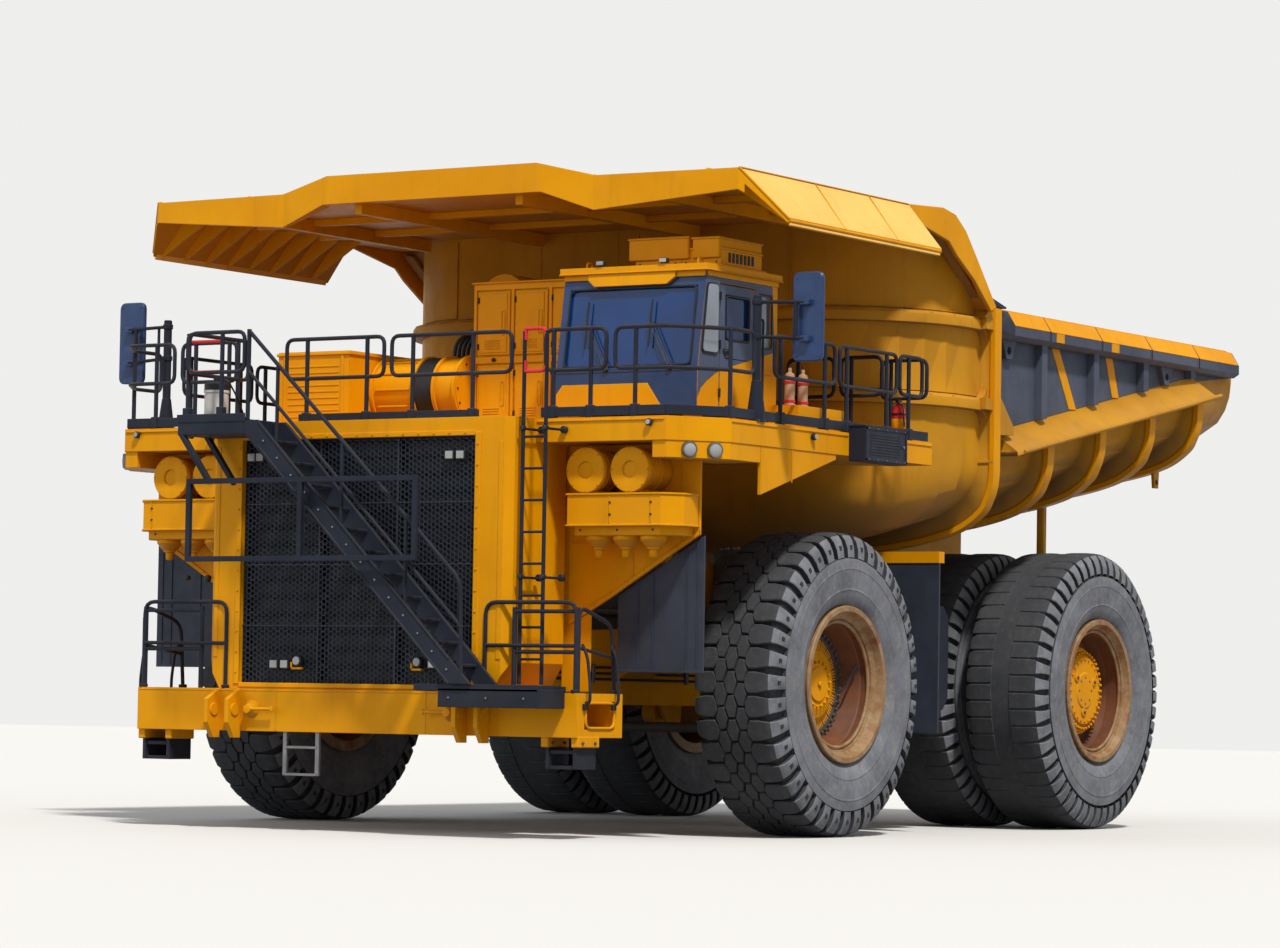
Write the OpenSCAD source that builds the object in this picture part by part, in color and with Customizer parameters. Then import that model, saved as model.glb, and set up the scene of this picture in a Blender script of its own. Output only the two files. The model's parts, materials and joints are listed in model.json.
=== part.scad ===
// Mining dump truck, rigid two-axle, empty, bed down.
// Millimetres. +Z up, front faces -Y, +X is the truck's left side.
// Inside the modules Y is measured from the front axle; placed() moves it so
// that the origin lies on the floor under the middle of the whole truck.

/* [Overall] */
// Front axle to the foremost piece
nose_reach = 4880; // [4840:10:5100]
// Front axle to the bed's tail
tail_reach = 11100; // [11000:10:11400]
// Front axle to rear axle
wheelbase = 6350; // [6300:10:6450]

/* [Wheels] */
// Outer radius of every tyre, out to the lugs
tyre_r = 1780; // [1740:5:1800]
// Width of a tyre
tyre_w = 1150; // [1080:10:1180]
// Radius of the rim's flange
rim_r = 925; // [880:5:950]
// Front tyre's outer face from the middle
front_face_x = 4170; // [4120:10:4250]
// Rear outer tyre's outer face from the middle
rear_face_x = 4300; // [4280:10:4350]
// Gap between the two rear tyres of a side
dual_gap = 200; // [160:10:240]
// Number of lugs on each shoulder of a tyre
lug_n = 36; // [30:1:44]
// Depth of the grooves between the lugs
lug_depth = 70; // [40:5:90]
// Steering strut's axis from the middle
kingpin_x = 2550; // [2500:10:2600]
// Radius of the steering strut
strut_r = 230; // [200:5:250]

/* [Frame] */
// Outer face of a main rail from the middle
rail_out_x = 1150; // [1100:10:1180]
// Width of a main rail
rail_w = 300; // [260:10:340]
// Bottom of the main rails ahead of the rear axle
rail_low_z = 1500; // [1460:10:1540]
// Height of the bed's hinge axis
pivot_z = 3330; // [3310:10:3360]
// Rear axle to the bed's hinge axis
pivot_behind = 1700; // [1660:10:1760]
// Radius of the bed's hinge pin
pivot_r = 120; // [100:5:130]
// Running gap round pins and between bodies
gap = 0.3; // [0.3:0.05:0.5]

/* [Nose] */
// Front face of the bumper, ahead of the front axle
bumper_y = 4160; // [4120:10:4200]
// Half width of the bumper
bumper_half = 3080; // [3000:10:3150]
// Lower and upper edge of the bumper
bumper_z = [1130, 1620];
// Depth of the bumper
bumper_d = 930; // [880:10:980]
// Half width of the radiator housing
housing_half = 2020; // [1980:10:2060]
// Depth of the radiator housing
housing_d = 1130; // [1080:10:1180]
// Half width of the grille's opening
grille_half = 1635; // [1600:5:1670]
// Lower and upper edge of the grille's opening
grille_z = [1690, 4490];

/* [Deck] */
// Top of the deck
deck_z = 4700; // [4680:10:4720]
// Thickness of the deck with its edge
deck_t = 270; // [240:10:290]
// Side of the deck from the middle
deck_half = 4280; // [4240:10:4320]
// Front edge of the deck, ahead of the front axle
deck_front = 3600; // [3560:10:3640]
// Rear end of the deck's sides, behind the front axle
deck_rear = 1700; // [1660:10:1740]
// Height of the handrails above the deck
rail_h = 1000; // [950:10:1050]
// Diameter of a handrail tube
tube_d = 45; // [38:1:50]

/* [Cab] */
// Cab's inner side from the middle
cab_x0 = 1740; // [1700:10:1780]
// Cab's width
cab_w = 1910; // [1860:10:1930]
// Cab's front, ahead of the front axle
cab_front = 2670; // [2640:10:2700]
// Cab's length
cab_l = 1740; // [1700:10:1780]
// Floor and roof heights of the cab
cab_z = [4810, 6420];
// Thickness of the cab's walls
cab_t = 60; // [50:5:80]

/* [Bed] */
// Bed's outer half width at the skin
bed_half = 3880; // [3840:10:3900]
// Thickness of the bed's plates
bed_t = 90; // [70:5:110]
// Front wall's outer face, behind the front axle
bed_front = 1300; // [1260:10:1340]
// Radius of the bed's rounded front corners in plan
bed_corner_r = 1900; // [1800:10:2000]
// Radius of the bed's rounded front bottom edge
bed_toe_r = 1000; // [900:10:1100]
// Rise of the floor for each unit of length
floor_rise = 0.19; // [0.18:0.005:0.20]
// Height of the skin's underside 5000 behind the front axle
floor_z5 = 3950; // [3930:10:3970]
// Top of the side walls
bed_rail_z = 6530; // [6480:10:6560]
// Depth of a hoop outside the skin
hoop_d = 200; // [160:10:220]
// Width of a hoop
hoop_w = 150; // [120:10:180]
// First hoop behind the front axle
hoop_y = 3650; // [3600:10:3700]
// Distance from hoop to hoop
hoop_pitch = 1480; // [1450:10:1500]
// Number of hoops on each bed
hoop_n = 5; // [5:1:5]

/* [Canopy] */
// Front edge of the canopy, ahead of the front axle
canopy_front = 2670; // [2620:10:2720]
// Half width of the canopy's plate
canopy_half = 4140; // [4100:10:4180]
// Top of the canopy's plate
canopy_z = 7540; // [7500:10:7580]
// Outer and lower edge of the sloping side wings
wing_edge = [4555, 7000];
// Depth of the canopy's plate and beams
canopy_t = 120; // [100:10:160]

/* [Hidden] */

front_axle_y = (nose_reach - tail_reach) / 2;
axle_z = tyre_r;
rear_y = wheelbase;
pivot_y = rear_y + pivot_behind;
chrome_yellow = [0.83, 0.57, 0.02];
blue_black = [0.17, 0.19, 0.24];
cab_blue = [0.34, 0.38, 0.47];
rubber = [0.25, 0.25, 0.26];
rust_beige = [0.59, 0.47, 0.31];
steel = [0.45, 0.45, 0.47];

module placed() translate([0, front_axle_y, 0]) children();
module both_sides() {
    children();
    mirror([1, 0, 0]) children();
}
// Block between two corners
module block(lo, hi) translate(lo) cube(hi - lo);
// Outline in Y and Z, drawn out along X
module along_x(x0, x1, pts)
    translate([x0, 0, 0]) rotate([90, 0, 90]) linear_extrude(x1 - x0) polygon(pts);
// Outline in X and Z, drawn out along Y
module along_y(y0, y1, pts)
    translate([0, y1, 0]) rotate([90, 0, 0]) linear_extrude(y1 - y0) polygon(pts);
// Outline in X and Y, drawn out along Z
module along_z(z0, z1, pts) translate([0, 0, z0]) linear_extrude(z1 - z0) polygon(pts);
// Round bar from point a to point b
module bar(a, b, d, fn = 16) {
    v = b - a;
    translate(a) rotate([0, acos(v[2] / norm(v)), atan2(v[1], v[0])])
        cylinder(h = norm(v), d = d, $fn = fn);
}
// Round pin along X
module pin_x(x0, x1, y, z, r, fn = 48)
    translate([x0, y, z]) rotate([0, 90, 0]) cylinder(h = x1 - x0, r = r, $fn = fn);
// Turned body about the X axis through y and z, from [radius, x] points
module turned_x(y, z, pts, fn = 96)
    translate([0, y, z]) rotate([0, 90, 0]) rotate_extrude($fn = fn) polygon(pts);

// Height of the skin's underside at y
function floor_z(y) = floor_z5 + floor_rise * (y - 5000);

// FRAME

rail_top_front = 2300;
rail_top_mid = 2880;
rail_top_rear = 3040;
rail_tail_y = pivot_y + 330;
// Top of the main rails under the bed
function rail_top(y) =
    rail_top_mid + (rail_top_rear - rail_top_mid) * (y - 1500) / (rail_tail_y - 1500);
axle_tunnel_z = 2520;
ear_w = 120;
ear_r = 260;
bumper_back = -bumper_y + bumper_d;
housing_front = -bumper_y + 50;
housing_back = housing_front + housing_d;
rail_nose_y = housing_back + gap;
// Top of the main rails ahead of the bed
function rail_top_fore(y) = rail_top_front + 150 * (y - rail_nose_y) / (900 - rail_nose_y);

module rail() {
    difference() {
        union() {
            along_x(rail_out_x - rail_w, rail_out_x, [
                [rail_nose_y, rail_low_z], [4200, rail_low_z], [5200, axle_tunnel_z],
                [rail_tail_y, axle_tunnel_z], [rail_tail_y, rail_top_rear],
                [1500, rail_top_mid], [900, rail_top_fore(900)],
                [rail_nose_y, rail_top_front]
            ]);
            along_x(rail_out_x - rail_w, rail_out_x - rail_w + ear_w, [
                [pivot_y - ear_r, rail_top_rear - 60], [pivot_y + ear_r, rail_top_rear - 60],
                [pivot_y + ear_r, pivot_z], [pivot_y - ear_r, pivot_z]
            ]);
            pin_x(rail_out_x - rail_w, rail_out_x - rail_w + ear_w, pivot_y, pivot_z, ear_r);
        }
    }
}
module frame() color(chrome_yellow) placed() {
    both_sides() rail();
    inner_x = rail_out_x - rail_w;
    // Cross members: y, z, radius
    for (c = [[-2300, 1900, 200], [2600, 2250, 260], [4700, 2450, 220], [7900, 2780, 200]])
        pin_x(-inner_x, inner_x, c[0], c[1], c[2]);
    // Hinge pin through both ears
    both_sides() pin_x(inner_x - 60, rail_out_x + 60, pivot_y, pivot_z, pivot_r);
    // Strut carriers
    both_sides() along_y(-340, 340, [
        [rail_out_x, 1800], [kingpin_x - strut_r, 2500], [kingpin_x - strut_r, 3200],
        [rail_out_x, rail_top_front - 20]
    ]);
    // Hoist foot brackets
    both_sides() along_x(rail_out_x, hoist_x - hoist_r - 60, [
        [hoist_foot[0] - 160, hoist_foot[1] - 150], [hoist_foot[0] + 160, hoist_foot[1] - 150],
        [hoist_foot[0] + 300, 2500], [hoist_foot[0] - 500, 2500], [hoist_foot[0] - 500, 1700]
    ]);
    both_sides() pin_x(hoist_x - hoist_r - 60, hoist_x + 130, hoist_foot[0], hoist_foot[1],
                       hoist_pin_r);
    both_sides() shield_beam();
}
// Beam that carries the shield behind a front wheel
module shield_beam() {
    block([rail_out_x + 15, shield_y - 10, shield_z + gap], [shield_x, shield_y + 130, shield_z + 140]);
    block([rail_out_x + 15, shield_y + 35, 2500], [rail_out_x + 130, shield_y + 130, shield_z + 20]);
    block([rail_out_x - 10, shield_y + 35, 2400], [rail_out_x + 130, shield_y + 130, 2800]);
}
module engine() color(steel) placed()
    block([-700, -2000, 1560], [700, 800, 3000]);

// Hoists: foot on the frame, head on the bed, [y, z]
hoist_x = 1450;
hoist_r = 200;
hoist_pin_r = 80;
hoist_foot = [4650, 1420];
hoist_head = [4300, 3560];
// The head's pin, and the room in the eye for its drift as the bed tips
head_pin_r = 60;
head_drift = 62;
hoist_len = norm(hoist_head - hoist_foot);
hoist_tilt = atan2(hoist_head[1] - hoist_foot[1], hoist_head[0] - hoist_foot[0]);
sleeve_r = 150;
rod_r = 105;
barrel_l = 1850;
eye_r = 170;
eye_w = 200;

// Puts a piece drawn up Z at the hoist's foot, along the hoist
module on_hoist()
    translate([hoist_x, hoist_foot[0], hoist_foot[1]]) rotate([hoist_tilt - 90, 0, 0]) children();
module tube(h0, h1, r_out, r_in) translate([0, 0, h0]) difference() {
    cylinder(h = h1 - h0, r = r_out, $fn = 48);
    translate([0, 0, -1]) cylinder(h = h1 - h0 + 2, r = r_in, $fn = 48);
}
module eye(pin) rotate([0, 90, 0]) difference() {
    cylinder(h = eye_w, r = eye_r, center = true, $fn = 48);
    cylinder(h = eye_w + 2, r = pin + gap, center = true, $fn = 48);
}
module hoist_barrels() color(chrome_yellow) placed() both_sides() on_hoist() {
    eye(hoist_pin_r);
    translate([0, 0, eye_r - 20]) cylinder(h = 80, r = hoist_r, $fn = 48);
    tube(eye_r + 50, barrel_l, hoist_r, sleeve_r + gap);
}
module hoist_sleeves() color(steel) placed() both_sides() on_hoist()
    tube(eye_r + 80, barrel_l + 60, sleeve_r, rod_r + gap);
module hoist_rods() color([0.75, 0.75, 0.78]) placed() both_sides() on_hoist() {
    translate([0, 0, eye_r + 110]) cylinder(h = hoist_len - 2 * eye_r - 80, r = rod_r, $fn = 48);
    translate([0, 0, hoist_len]) eye(head_pin_r + head_drift);
}

// NOSE

module bumper() color(chrome_yellow) placed() {
    y0 = -bumper_y;
    y1 = bumper_back;
    mid = (bumper_z[0] + bumper_z[1]) / 2;
    difference() {
        block([-bumper_half, y0, bumper_z[0]], [bumper_half, y1, bumper_z[1]]);
        both_sides() block([bumper_half - 420, y0 + 160, bumper_z[0] + 90],
                           [bumper_half + 1, y1 - 160, bumper_z[1] - 90]);
    }
    // Tow plates with pin bores
    both_sides() for (x = [1560, 1860]) difference() {
        along_x(x, x + 60, [[y0 - 230, mid - 150], [y0 - 230, mid + 120], [y0, bumper_z[1]],
                            [y0, bumper_z[0] - 80], [y0 - 120, bumper_z[0] - 80]]);
        pin_x(x - 1, x + 61, y0 - 120, mid, 45);
    }
    // Arms back to the main rails
    both_sides() block([rail_out_x - rail_w, y1, rail_low_z + 20],
                       [rail_out_x, rail_nose_y - gap, bumper_z[1]]);
}
housing_top = deck_z;
module radiator_housing() color(chrome_yellow) placed() {
    back = housing_back;
    edge = 90;
    difference() {
        along_z(bumper_z[1], housing_top, [
            [-housing_half, housing_front], [housing_half, housing_front],
            [housing_half + edge, housing_front + edge], [housing_half + edge, back],
            [-housing_half - edge, back], [-housing_half - edge, housing_front + edge]
        ]);
        block([-grille_half, housing_front - 1, grille_z[0]],
              [grille_half, back + 1, grille_z[1]]);
        both_sides() along_y(housing_front - 1, back + 1, [
            [housing_half + edge + 1, bumper_z[1] - 1], [housing_half - 100, bumper_z[1] - 1],
            [housing_half + edge + 1, bumper_z[1] + 330]
        ]);
    }
}
module grille() color(blue_black) placed() {
    y0 = housing_front + 60;
    // Core and frame
    block([-grille_half, y0 + 90, grille_z[0]], [grille_half, y0 + 400, grille_z[1]]);
    rows = 14;
    pitch = (grille_z[1] - grille_z[0]) / rows;
    for (i = [0:rows]) {
        z = min(max(grille_z[0], grille_z[0] + i * pitch - 20), grille_z[1] - 40);
        block([-grille_half, y0, z], [grille_half, y0 + 90, z + 40]);
    }
    for (x = [-grille_half, -grille_half / 3 - 20, grille_half / 3 - 20, grille_half - 40])
        block([x, y0, grille_z[0]], [x + 40, y0 + 90, grille_z[1]]);
}
module number_frame() color(blue_black) placed() {
    x0 = -1860;
    x1 = 1380;
    z0 = 3060;
    z1 = 4010;
    y0 = -nose_reach;
    y1 = y0 + 50;
    bar_w = 60;
    difference() {
        block([x0, y0, z0], [x1, y1, z1]);
        for (i = [0, 1]) {
            w = (x1 - x0 - 3 * bar_w) / 2;
            xa = x0 + bar_w + i * (w + bar_w);
            block([xa, y0 - 1, z0 + bar_w], [xa + w, y1 + 1, z1 - bar_w]);
        }
    }
    // Stays back to the stair's outer stringer, where it crosses the bars
    for (z = [z1 - bar_w / 2, (z0 + z1) / 2, z0 + bar_w / 2]) {
        x = z == (z0 + z1) / 2 ? (x0 + x1) / 2 : stair_at(z);
        block([x - 30, y1, z - 30], [x + 30, stair_y0, z + 30]);
    }
}

// STAIRS AND LADDER

stair_x = [-1450, 1750];
stair_top = 4430;
stair_y0 = -nose_reach + 120;
stair_y1 = stair_y0 + 560;
stair_foot = bumper_z[1] + 70 + gap;
stair_slope = (stair_top - stair_foot) / (stair_x[1] - stair_x[0]);
// Height of the stringers' middle at x
function stair_z(x) = stair_top - 100 - (x - stair_x[0]) * stair_slope;
// Where the stringers' middle has the height z
function stair_at(z) = stair_x[0] + (stair_top - 100 - z) / stair_slope;
platform_x = [-2060, stair_x[0] + 260];

module stringer(y) {
    hh = 120;
    along_y(y, y + 40, [
        [stair_x[0], stair_top - 200 - hh], [stair_x[0], stair_top],
        [stair_x[0] + 240, stair_top], [stair_x[1] + 120, stair_foot],
        [stair_x[1] - 180, stair_foot]
    ]);
}
module stairs() color(blue_black) placed() {
    stringer(stair_y0);
    stringer(stair_y1 - 40);
    steps = 10;
    for (i = [1:steps]) {
        x = stair_x[0] + (stair_x[1] - stair_x[0]) * i / (steps + 1);
        block([x - 120, stair_y0 + 40, stair_z(x) - 20], [x + 120, stair_y1 - 40, stair_z(x) + 20]);
    }
    // Top platform
    block([platform_x[0], stair_y0, stair_top], [platform_x[1], housing_front - gap, deck_z]);
    // Handrail on the outer stringer
    for (h = [500, 950]) bar([stair_x[0] + 60, stair_y0 + 20, stair_z(stair_x[0]) + h],
                             [stair_x[1] - 60, stair_y0 + 20, stair_z(stair_x[1]) + h], tube_d);
    for (t = [0.03, 0.35, 0.68, 0.98]) {
        x = stair_x[0] + (stair_x[1] - stair_x[0]) * t;
        bar([x, stair_y0 + 20, stair_z(x)], [x, stair_y0 + 20, stair_z(x) + 1000], tube_d);
    }
}
ladder_x = [housing_half + 180, housing_half + 480];
ladder_y = -4000;
module ladder() color(blue_black) placed() {
    foot = bumper_z[1] + 90;
    head = 5650;
    for (x = ladder_x) bar([x, ladder_y, foot], [x, ladder_y, head], tube_d);
    rung = 354;
    for (i = [0:7]) bar([ladder_x[0], ladder_y, 1990 + rung * i],
                        [ladder_x[1], ladder_y, 1990 + rung * i], 30);
    for (z = [2900, 4560]) for (x = ladder_x)
        bar([x, ladder_y, z], [x, -deck_front - gap, z], 30);
}

// DECK

corner_in = 460;
corner_back = 650;
lamp_box_h = 190;
lamp_box_x = deck_half - 640;
// Ends of the chamfered face that holds the headlamps
lamp_face = [[deck_half - corner_in, -deck_front + 20], [deck_half - 10, -deck_front + corner_back]];
module deck() color(chrome_yellow) placed() {
    z0 = deck_z - deck_t;
    wing = [
        [housing_half + 90, -deck_front], [deck_half - corner_in, -deck_front],
        [deck_half, -deck_front + corner_back], [deck_half, deck_rear],
        [deck_half - 500, deck_rear], [2600, 850], [housing_half + 90, 850]
    ];
    both_sides() along_z(z0, deck_z, wing);
    block([-housing_half - 90, housing_back, z0], [housing_half + 90, 850, deck_z]);
    // Lamp boxes under the front corners
    both_sides() along_z(z0 - lamp_box_h, z0, [
        [lamp_box_x, -deck_front + 20], lamp_face[0], lamp_face[1], [deck_half - 10, -2300],
        [lamp_box_x, -2300]
    ]);
    // Deck supports down to the main rails
    both_sides() for (y = [-2600, 700]) along_x(rail_out_x - 60, rail_out_x, [
        [y, rail_top_fore(y) + gap], [y + 160, rail_top_fore(y + 160) + gap],
        [y + 160, z0], [y, z0]
    ]);
}
fender_y = -2900;
// Shield behind the front wheel: its face, outer end and top
shield_y = 2490;
shield_x = 3970;
shield_z = 3290;
module fender_panels() color(chrome_yellow) placed() both_sides() {
    t = 40;
    z1 = deck_z - deck_t - lamp_box_h;
    z2 = deck_z - deck_t;
    // Front panel with its slanting lower edge
    along_y(fender_y, fender_y + t, [
        [housing_half + 90, 2400], [2690, 2710], [3850, 3410], [3850, z1 - gap],
        [lamp_box_x - gap, z1 - gap], [lamp_box_x - gap, z2 - gap], [housing_half + 90, z2 - gap]
    ]);
    // Side panel tapering to the rear
    along_x(deck_half - 10 - t, deck_half - 10, [
        [-2290, 3880], [-600, 4370], [-600, z2 - gap], [-2290, z2 - gap]
    ]);
}
cleaner_y = [-3420, -2900];
module air_cleaners() color(chrome_yellow) placed() both_sides() {
    r = 255;
    for (x = [2660, 3230])
        translate([x, cleaner_y[0], 4120]) rotate([-90, 0, 0])
            cylinder(h = cleaner_y[1] - cleaner_y[0] - gap, r = r, $fn = 48);
    block([2400, cleaner_y[0], 3490], [3960, cleaner_y[1] - gap, 3860]);
    block([2460, cleaner_y[0] - 60, 3380], [3920, cleaner_y[1] - gap, 3490]);
    for (x = [2800, 3180, 3560]) translate([x, -3200, 3120]) cylinder(h = 262, r = 90, $fn = 32);
}
module headlamps() color([0.9, 0.9, 0.85]) placed() both_sides() {
    z = deck_z - deck_t - lamp_box_h / 2;
    span = lamp_face[1] - lamp_face[0];
    // On the chamfered corner
    for (s = [0.35, 0.75]) translate([lamp_face[0][0] + span[0] * s, lamp_face[0][1] + span[1] * s, z])
        rotate([90, 0, atan2(span[1], span[0])]) cylinder(h = 45, r = 70, $fn = 32);
}
module mud_flaps() color(blue_black) placed() both_sides() {
    along_y(fender_y + 60, fender_y + 90, [
        [2750, 1870], [3880, 1870], [3880, 3400], [2750, 2730]
    ]);
    // Behind the front wheels, under the beam
    block([rail_out_x + 150, shield_y, 1220], [shield_x, shield_y + 30, shield_z]);
}

// RAILS

module rail_run(pts) {
    n = len(pts) - 1;
    for (i = [0:n - 1]) {
        for (h = [rail_h * 0.54, rail_h])
            bar([pts[i][0], pts[i][1], deck_z + h], [pts[i + 1][0], pts[i + 1][1], deck_z + h], tube_d);
    }
    // Posts, a little thicker, also join the tubes at the corners
    for (p = pts) bar([p[0], p[1], deck_z + gap], [p[0], p[1], deck_z + rail_h + tube_d], tube_d + 12);
}
module deck_rails() color(blue_black) placed() {
    in = 40;
    side = deck_half - in;
    front = -deck_front + in;
    back = deck_rear - in;
    rail_run([[-1000, front], [-300, front], [900, front], [1950, front]]);
    both_sides() {
        rail_run([[2700, front], [3300, front], [deck_half - corner_in, front],
                  [side, front + corner_back], [side, mirror_y - 100]]);
        rail_run([[side, mirror_y + 100], [side, -1300], [side, -300], [side, 700], [side, back]]);
    }
    // Kick plates along the edges
    kick = deck_z + 110;
    block([-1250, front - 20, deck_z + gap], [1950, front - 10, kick]);
    both_sides() {
        block([2150, front - 20, deck_z + gap], [deck_half - corner_in, front - 10, kick]);
        for (y = [[front + corner_back, mirror_y - 60], [mirror_y + 60, back]])
            block([side + 10, y[0], deck_z + gap], [side + 20, y[1], kick]);
    }
    // Platform at the head of the stairs
    px = platform_x[0] + in;
    rail_run([[px, front], [px, stair_y0 + in]]);
}
walkway_z = bumper_z[1] + 70;
module bumper_walkway() color(blue_black) placed() {
    z = bumper_z[1];
    block([1300, -4700, z + gap], [2900, housing_front - gap, walkway_z]);
    // Hanging steps at the bumper's ends
    both_sides() for (x = [2640, 3000]) block([x, -4100, 780], [x + 40, -3700, bumper_z[0]]);
    both_sides() for (dz = [780, 950]) block([2680, -4080, dz], [3000, -3720, dz + 40]);
    // Handrails
    both_sides() {
        x = [housing_half + 180, bumper_half - 50];
        for (h = [450, 900]) bar([x[0], -4100, z + h], [x[1], -4100, z + h], tube_d);
        for (p = x) bar([p, -4100, z + gap], [p, -4100, z + 900 + tube_d], tube_d + 12);
    }
}

// ON THE DECK

module control_cabinet() color(chrome_yellow) placed() {
    x = [50, cab_x0 - 50];
    y0 = -1900;
    top = 6450;
    cols = 3;
    rows = [[deck_z + 80, 5500], [5580, top - 80]];
    pitch = (x[1] - x[0] - 40) / cols;
    difference() {
        block([x[0], y0, deck_z + gap], [x[1], -900, top]);
        // Sunk grooves round the doors
        for (i = [0:cols - 1]) for (r = rows) difference() {
            block([x[0] + 40 + i * pitch, y0 - 1, r[0]], [x[0] + i * pitch + pitch, y0 + 20, r[1]]);
            block([x[0] + 60 + i * pitch, y0 - 2, r[0] + 20],
                  [x[0] + i * pitch + pitch - 20, y0 + 21, r[1] - 20]);
        }
    }
}
module retarder() color(chrome_yellow) placed() {
    block([-2300, -2600, deck_z + gap], [-1250, -900, 5650]);
    pin_x(-1250, 0, -1800, 5200, 380);
    // Flanges and the drum's cradle
    for (x = [-1240, -640, -340, -45]) pin_x(x, x + 40, -1800, 5200, 415);
    for (x = [-1000, -250]) block([x, -2080, deck_z + gap], [x + 120, -1520, 4900]);
}
module air_duct() color(chrome_yellow) placed() {
    block([-700, -700, deck_z + gap], [0, 100, 6350]);
    translate([-350, -700, 6350]) rotate([-90, 0, 0]) cylinder(h = 800, r = 350, $fn = 64);
}
module side_boxes() color(blue_black) placed() {
    block([deck_half + gap, -320, 4370], [deck_half + 220, 680, 4780]);
    color(chrome_yellow) block([3760, -1290, deck_z + gap], [4160, -200, 4960]);
    // Tanks between the wheels, on saddles from the main rails
    both_sides() {
        tank_x = [1500, 3250];
        along_x(tank_x[0], tank_x[1], [
            [2700, 1500], [3950, 1500], [4080, 1650], [4080, 2650], [3950, 2800], [2700, 2800],
            [2580, 2650], [2580, 1650]
        ]);
        for (y = [2760, 3700]) block([rail_out_x + gap, y, 1620], [tank_x[0] + 10, y + 160, 2400]);
    }
}
mirror_y = -2300;
module mirrors() color(blue_black) placed() both_sides() {
    x = deck_half - 60;
    bar([x, mirror_y, deck_z + gap], [x, mirror_y, 6250], 80);
    for (z = [5550, 6150]) bar([x, mirror_y, z], [4680, mirror_y, z], 40);
    block([4640, mirror_y - 100, 5360], [5040, mirror_y - 10, 6380]);
}

// CAB

cab_x1 = cab_x0 + cab_w;
cab_back = -cab_front + cab_l;
sill_z = 5270;
window_z = [5330, 6260];
lean = 170;
module cab_outline(inset)
    along_x(cab_x0 + inset, cab_x1 - inset, [
        [-cab_front + inset, cab_z[0] + inset], [cab_back - inset, cab_z[0] + inset],
        [cab_back - inset, cab_z[1] - inset], [-cab_front + lean + inset, cab_z[1] - inset],
        [-cab_front + inset, sill_z]
    ]);
// Doorway in the outer side
door_y = [-2210, -1430];
door_z = [4880, 6300];
door_gap = 12;
quarter_y = [-2470, -2290];
rear_win_y = [-1350, -1050];
inner_win_y = [-2300, -1200];
back_win_in = 300;
module cab_shell() color(chrome_yellow) placed() {
    difference() {
        cab_outline(0);
        cab_outline(cab_t);
        // Windscreen
        block([cab_x0 + 90, -cab_front - 10, window_z[0]], [cab_x1 - 90, -cab_front + 260, window_z[1]]);
        // Doorway and the windows beside it
        block([cab_x1 - cab_t - 10, door_y[0], door_z[0]], [cab_x1 + 10, door_y[1], door_z[1]]);
        for (y = [quarter_y, rear_win_y])
            block([cab_x1 - cab_t - 10, y[0], window_z[0]], [cab_x1 + 10, y[1], window_z[1]]);
        block([cab_x0 - 10, inner_win_y[0], window_z[0]],
              [cab_x0 + cab_t + 10, inner_win_y[1], window_z[1]]);
        block([cab_x0 + back_win_in, cab_back - cab_t - 10, window_z[0]],
              [cab_x1 - back_win_in, cab_back + 10, window_z[1]]);
    }
    // Mounts on the deck
    for (x = [cab_x0 + 100, cab_x1 - 260]) for (y = [-cab_front + 120, cab_back - 280])
        block([x, y, deck_z + gap], [x + 160, y + 160, cab_z[0]]);
    // Roof slab
    block([cab_x0 - 40, -cab_front + lean - 60, cab_z[1]], [cab_x1 + 40, cab_back + 40, cab_z[1] + 80]);
}
glass_t = 16;
module cab_glass() color([0.2, 0.3, 0.45, 0.6]) placed() {
    z = [window_z[0] + gap, window_z[1] - gap];
    in = 30;
    for (y = [quarter_y, rear_win_y])
        block([cab_x1 - in - glass_t, y[0] + gap, z[0]], [cab_x1 - in, y[1] - gap, z[1]]);
    block([cab_x0 + in, inner_win_y[0] + gap, z[0]], [cab_x0 + in + glass_t, inner_win_y[1] - gap, z[1]]);
    block([cab_x0 + back_win_in + gap, cab_back - in - glass_t, z[0]],
          [cab_x1 - back_win_in - gap, cab_back - in, z[1]]);
    // Windscreen, leaning back with the pillars
    run = lean / (cab_z[1] - sill_z);
    y0 = -cab_front + 20 + run * (z[0] - sill_z);
    y1 = -cab_front + 20 + run * (z[1] - sill_z);
    along_x(cab_x0 + 90 + gap, cab_x1 - 90 - gap, [
        [y0, z[0]], [y0 + glass_t, z[0]], [y1 + glass_t, z[1]], [y1, z[1]]
    ]);
}
module cab_interior() color(blue_black) placed() {
    floor_in = cab_z[0] + cab_t;
    x = cab_x0 + 1050;
    wheel = [x, -2200, floor_in + 680];
    block([x - 260, -1850, floor_in], [x + 260, -1300, floor_in + 420]);
    block([x - 260, -1430, floor_in + 420], [x + 260, -1300, floor_in + 1150]);
    block([cab_x0 + 250, cab_inner_y, floor_in], [cab_x1 - 250, cab_inner_y + 200, floor_in + 380]);
    bar([x, cab_inner_y + 190, floor_in + 250], wheel, 60);
    translate(wheel) rotate([-50, 0, 0]) {
        cylinder(h = 40, r = 60, $fn = 32);
        rotate_extrude($fn = 48) translate([200, 0]) circle(r = 18, $fn = 16);
        for (a = [30, 150, 270]) rotate([0, 0, a]) translate([0, -15, 0]) cube([195, 30, 15]);
    }
}
cab_inner_y = -cab_front + cab_t;
module cab_aircon() color(chrome_yellow) placed() {
    z = cab_z[1] + 80 + gap;
    block([cab_x0 + 700, -2100, z], [cab_x1 - 60, -1200, z + 230]);
    block([cab_x0 + 760, -2040, z + 230], [cab_x1 - 120, -1500, z + 300]);
}
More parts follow.
